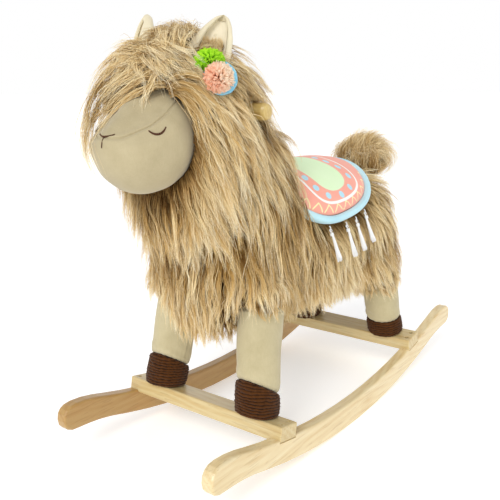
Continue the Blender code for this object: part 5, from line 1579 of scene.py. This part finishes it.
# ---------------------------------------------------------------- pompoms and felt
def make_pompom(name, centre, radius, look, replaced, seed, other, flat, painted_light_way):
    """Cut yarn standing out all round from the knot in the middle."""
    rng = np.random.default_rng(seed)
    count = 2600
    k = np.arange(count) + 0.5
    up = 1 - 2 * k / count
    turn = k * math.pi * (3 - math.sqrt(5))
    way = np.stack([np.cos(turn) * np.sqrt(1 - up**2), np.sin(turn) * np.sqrt(1 - up**2), up], -1)
    way = unit(way + rng.normal(scale=0.055, size=way.shape))
    knots = 110
    i = np.arange(knots) + 0.5
    lift = 1 - 2 * i / knots
    tuft = np.stack([np.cos(i * 2.39996) * np.sqrt(1 - lift**2), np.sin(i * 2.39996) * np.sqrt(1 - lift**2), lift], -1)
    tuft = unit(tuft + rng.normal(scale=0.07, size=tuft.shape))
    own = (way @ tuft.T).argmax(1)
    apart = np.clip(np.linalg.norm(way - tuft[own], axis=1) / 0.19, 0, 1)
    tip = unit(way * 0.55 + tuft[own] * 0.45)
    other = np.array(other) - np.array(centre)
    reach = radius * (1 + rng.normal(scale=0.022, size=count)) * (1 + 0.03 * mottle(way, 0.8, seed))
    # squashed where it presses on its neighbour
    gap = np.linalg.norm(other)
    plane = gap / 2 - 0.0002
    cosine = way @ (other / gap)
    reach = np.where(cosine > 0.05, np.minimum(reach, plane / np.maximum(cosine, 0.05)), reach)
    t = np.linspace(0.30, 1.0, 4)
    bend = rng.normal(scale=0.0009, size=(count, 3))
    reach = reach - 0.0011 * apart**2 * (radius / 0.017) + rng.normal(scale=0.0003, size=knots)[own]
    aim = unit(way[:, None] * (1 - t[None, :, None] ** 2) + tip[:, None] * t[None, :, None] ** 2)
    aim = aim * np.array((1.0, 1.0, flat))
    lines = np.array(centre) + aim * (reach[:, None] * t[None])[..., None] + bend[:, None] * ((t - 0.3) ** 2)[None, :, None] * 2
    width = np.array((0.00040, 0.00055, 0.00066, 0.00058))
    points, faces, rings = tubes(lines, np.broadcast_to(width, (count, 4)), 4)
    # Painted shade: each yarn is coloured darker towards its root, deep in the pompom.
    v = np.array((0.02, 0.05, 0.35, 0.70, 0.96, 0.98))
    # Painted light: yarn on the side the last argument points to takes the paler row.
    u = 0.5 + 0.45 * (way @ unit(np.array(painted_light_way))) + 0.10 * mottle(way, 0.9, seed + 1) + rng.normal(scale=0.16, size=count)
    u = np.clip(u, 0.02, 0.97)
    row = (faces // 4) % rings
    own_yarn = faces[:, 0] // (4 * rings)
    uu = u[faces // (4 * rings)] + 0.006 * np.array((0, 1, 1, 0))[None]
    # Painted shade: yarn in the dips between tufts is coloured nearer its darker root.
    uv = np.stack([uu, v[row] * (1 - 0.32 * apart[own_yarn] ** 1.5)[:, None] + 0 * uu], -1).reshape(-1, 2)
    obj = put(name, points, faces, LOOKS[look], uv=uv)
    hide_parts(replaced)


make_pompom("tufted_pompom_green", np.array(POMPOM_GREEN) - (0, 0, 0.0015), POMPOM_R, "green", "pompom_green", 61,
            POMPOM_CORAL, POMPOM_GREEN_FLAT, (0.2, -0.3, 1.0))
make_pompom("tufted_pompom_coral", POMPOM_CORAL, POMPOM_R, "coral", "pompom_coral", 62, POMPOM_GREEN, 1.0, (0.8, 0.4, 0.3))


def make_felt():
    centre = np.array(POMPOM_CORAL) - FELT_FACES * 0.0105 + np.array(FELT_SHIFT)
    x = unit(np.array((1.0, 0, 0)) - FELT_FACES * FELT_FACES[0])
    y = np.cross(FELT_FACES, x)
    turn = np.linspace(0, 2 * math.pi, 120, endpoint=False)
    ring = np.cos(turn)[:, None] * x + np.sin(turn)[:, None] * y
    h = FELT_THICK / 2
    profile = [(0.0004, -h), (0.40, -h), (0.80, -h), (0.955, -h), (0.985, -h * 0.75), (0.997, -h * 0.3), (0.997, h * 0.3), (0.985, h * 0.75),
               (0.955, h), (0.80, h), (0.40, h * 0.9), (0.0004, h * 0.9)]
    rows = []
    for share, lift in profile:
        wob = 1 + 0.008 * np.sin(turn * 9 + 1) * (share > 0.9)
        rows.append(centre + ring * (FELT_R * share * wob)[:, None] + FELT_FACES * lift)
    stack = np.stack(rows)
    points = stack.reshape(-1, 3)
    obj = put("felt_backing", points, outward(points - centre, grid_faces(len(rows), 120, True)), LOOKS["felt"])
    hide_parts("felt_disc")


make_felt()

# ---------------------------------------------------------------- floor, light, camera
floor = bpy.data.meshes.new("floor")
floor.from_pydata([(-40, -40, 0), (40, -40, 0), (40, 40, 0), (-40, 40, 0)], [], [(0, 1, 2, 3)])
floor_look = Look("pale_floor", 0.9, Specular_IOR_Level=0.0)
floor_look.colour(floor_look.ramp(floor_look.noise(floor_look.place(), 3.0), (0.3, (0.90, 0.90, 0.90)), (0.7, (0.92, 0.92, 0.92))))
floor_look.shader.inputs["Emission Color"].default_value = (1.0, 1.0, 1.0, 1.0)
floor_look.shader.inputs["Emission Strength"].default_value = 0.36
floor.materials.append(floor_look.mat)
floor = bpy.data.objects.new("floor", floor)
bpy.context.scene.collection.objects.link(floor)

world = bpy.data.worlds.new("studio")
bpy.context.scene.world = world
world.use_nodes = True
tree = world.node_tree
rise = tree.nodes.new("ShaderNodeSeparateXYZ")
tree.links.new(tree.nodes.new("ShaderNodeTexCoord").outputs["Generated"], rise.inputs[0])
dome = tree.nodes.new("ShaderNodeValToRGB")
tree.links.new(rise.outputs["Z"], dome.inputs["Fac"])
dome.color_ramp.elements[0].position, dome.color_ramp.elements[0].color = 0.22, (1.0, 1.0, 1.0, 1.0)
dome.color_ramp.elements[1].position, dome.color_ramp.elements[1].color = 1.0, (0.42, 0.42, 0.43, 1.0)
tree.links.new(dome.outputs["Color"], world.node_tree.nodes["Background"].inputs["Color"])
world.node_tree.nodes["Background"].inputs["Strength"].default_value = 1.0


def sun(name, strength, spread_angle, towards):
    light = bpy.data.lights.new(name, "SUN")
    light.energy = strength
    light.angle = math.radians(spread_angle)
    obj = bpy.data.objects.new(name, light)
    bpy.context.scene.collection.objects.link(obj)
    obj.rotation_mode = "QUATERNION"
    obj.rotation_quaternion = Vector(towards).to_track_quat("-Z", "Y")
    return obj


sun("key_light", 1.35, 22, (-0.30, 0.95, -0.80))

camera_data = bpy.data.cameras.new("camera")
camera_data.lens = 48.47
camera_data.sensor_width = 36.0
camera = bpy.data.objects.new("camera", camera_data)
bpy.context.scene.collection.objects.link(camera)
camera.matrix_world = Matrix((
    (R[0], U[0], -D[0], 0.5841), (R[1], U[1], -D[1], -0.8827), (R[2], U[2], -D[2], 0.5126), (0, 0, 0, 1)))
bpy.context.scene.camera = camera
bpy.context.scene.view_settings.view_transform = "Standard"

bpy.context.view_layer.update()
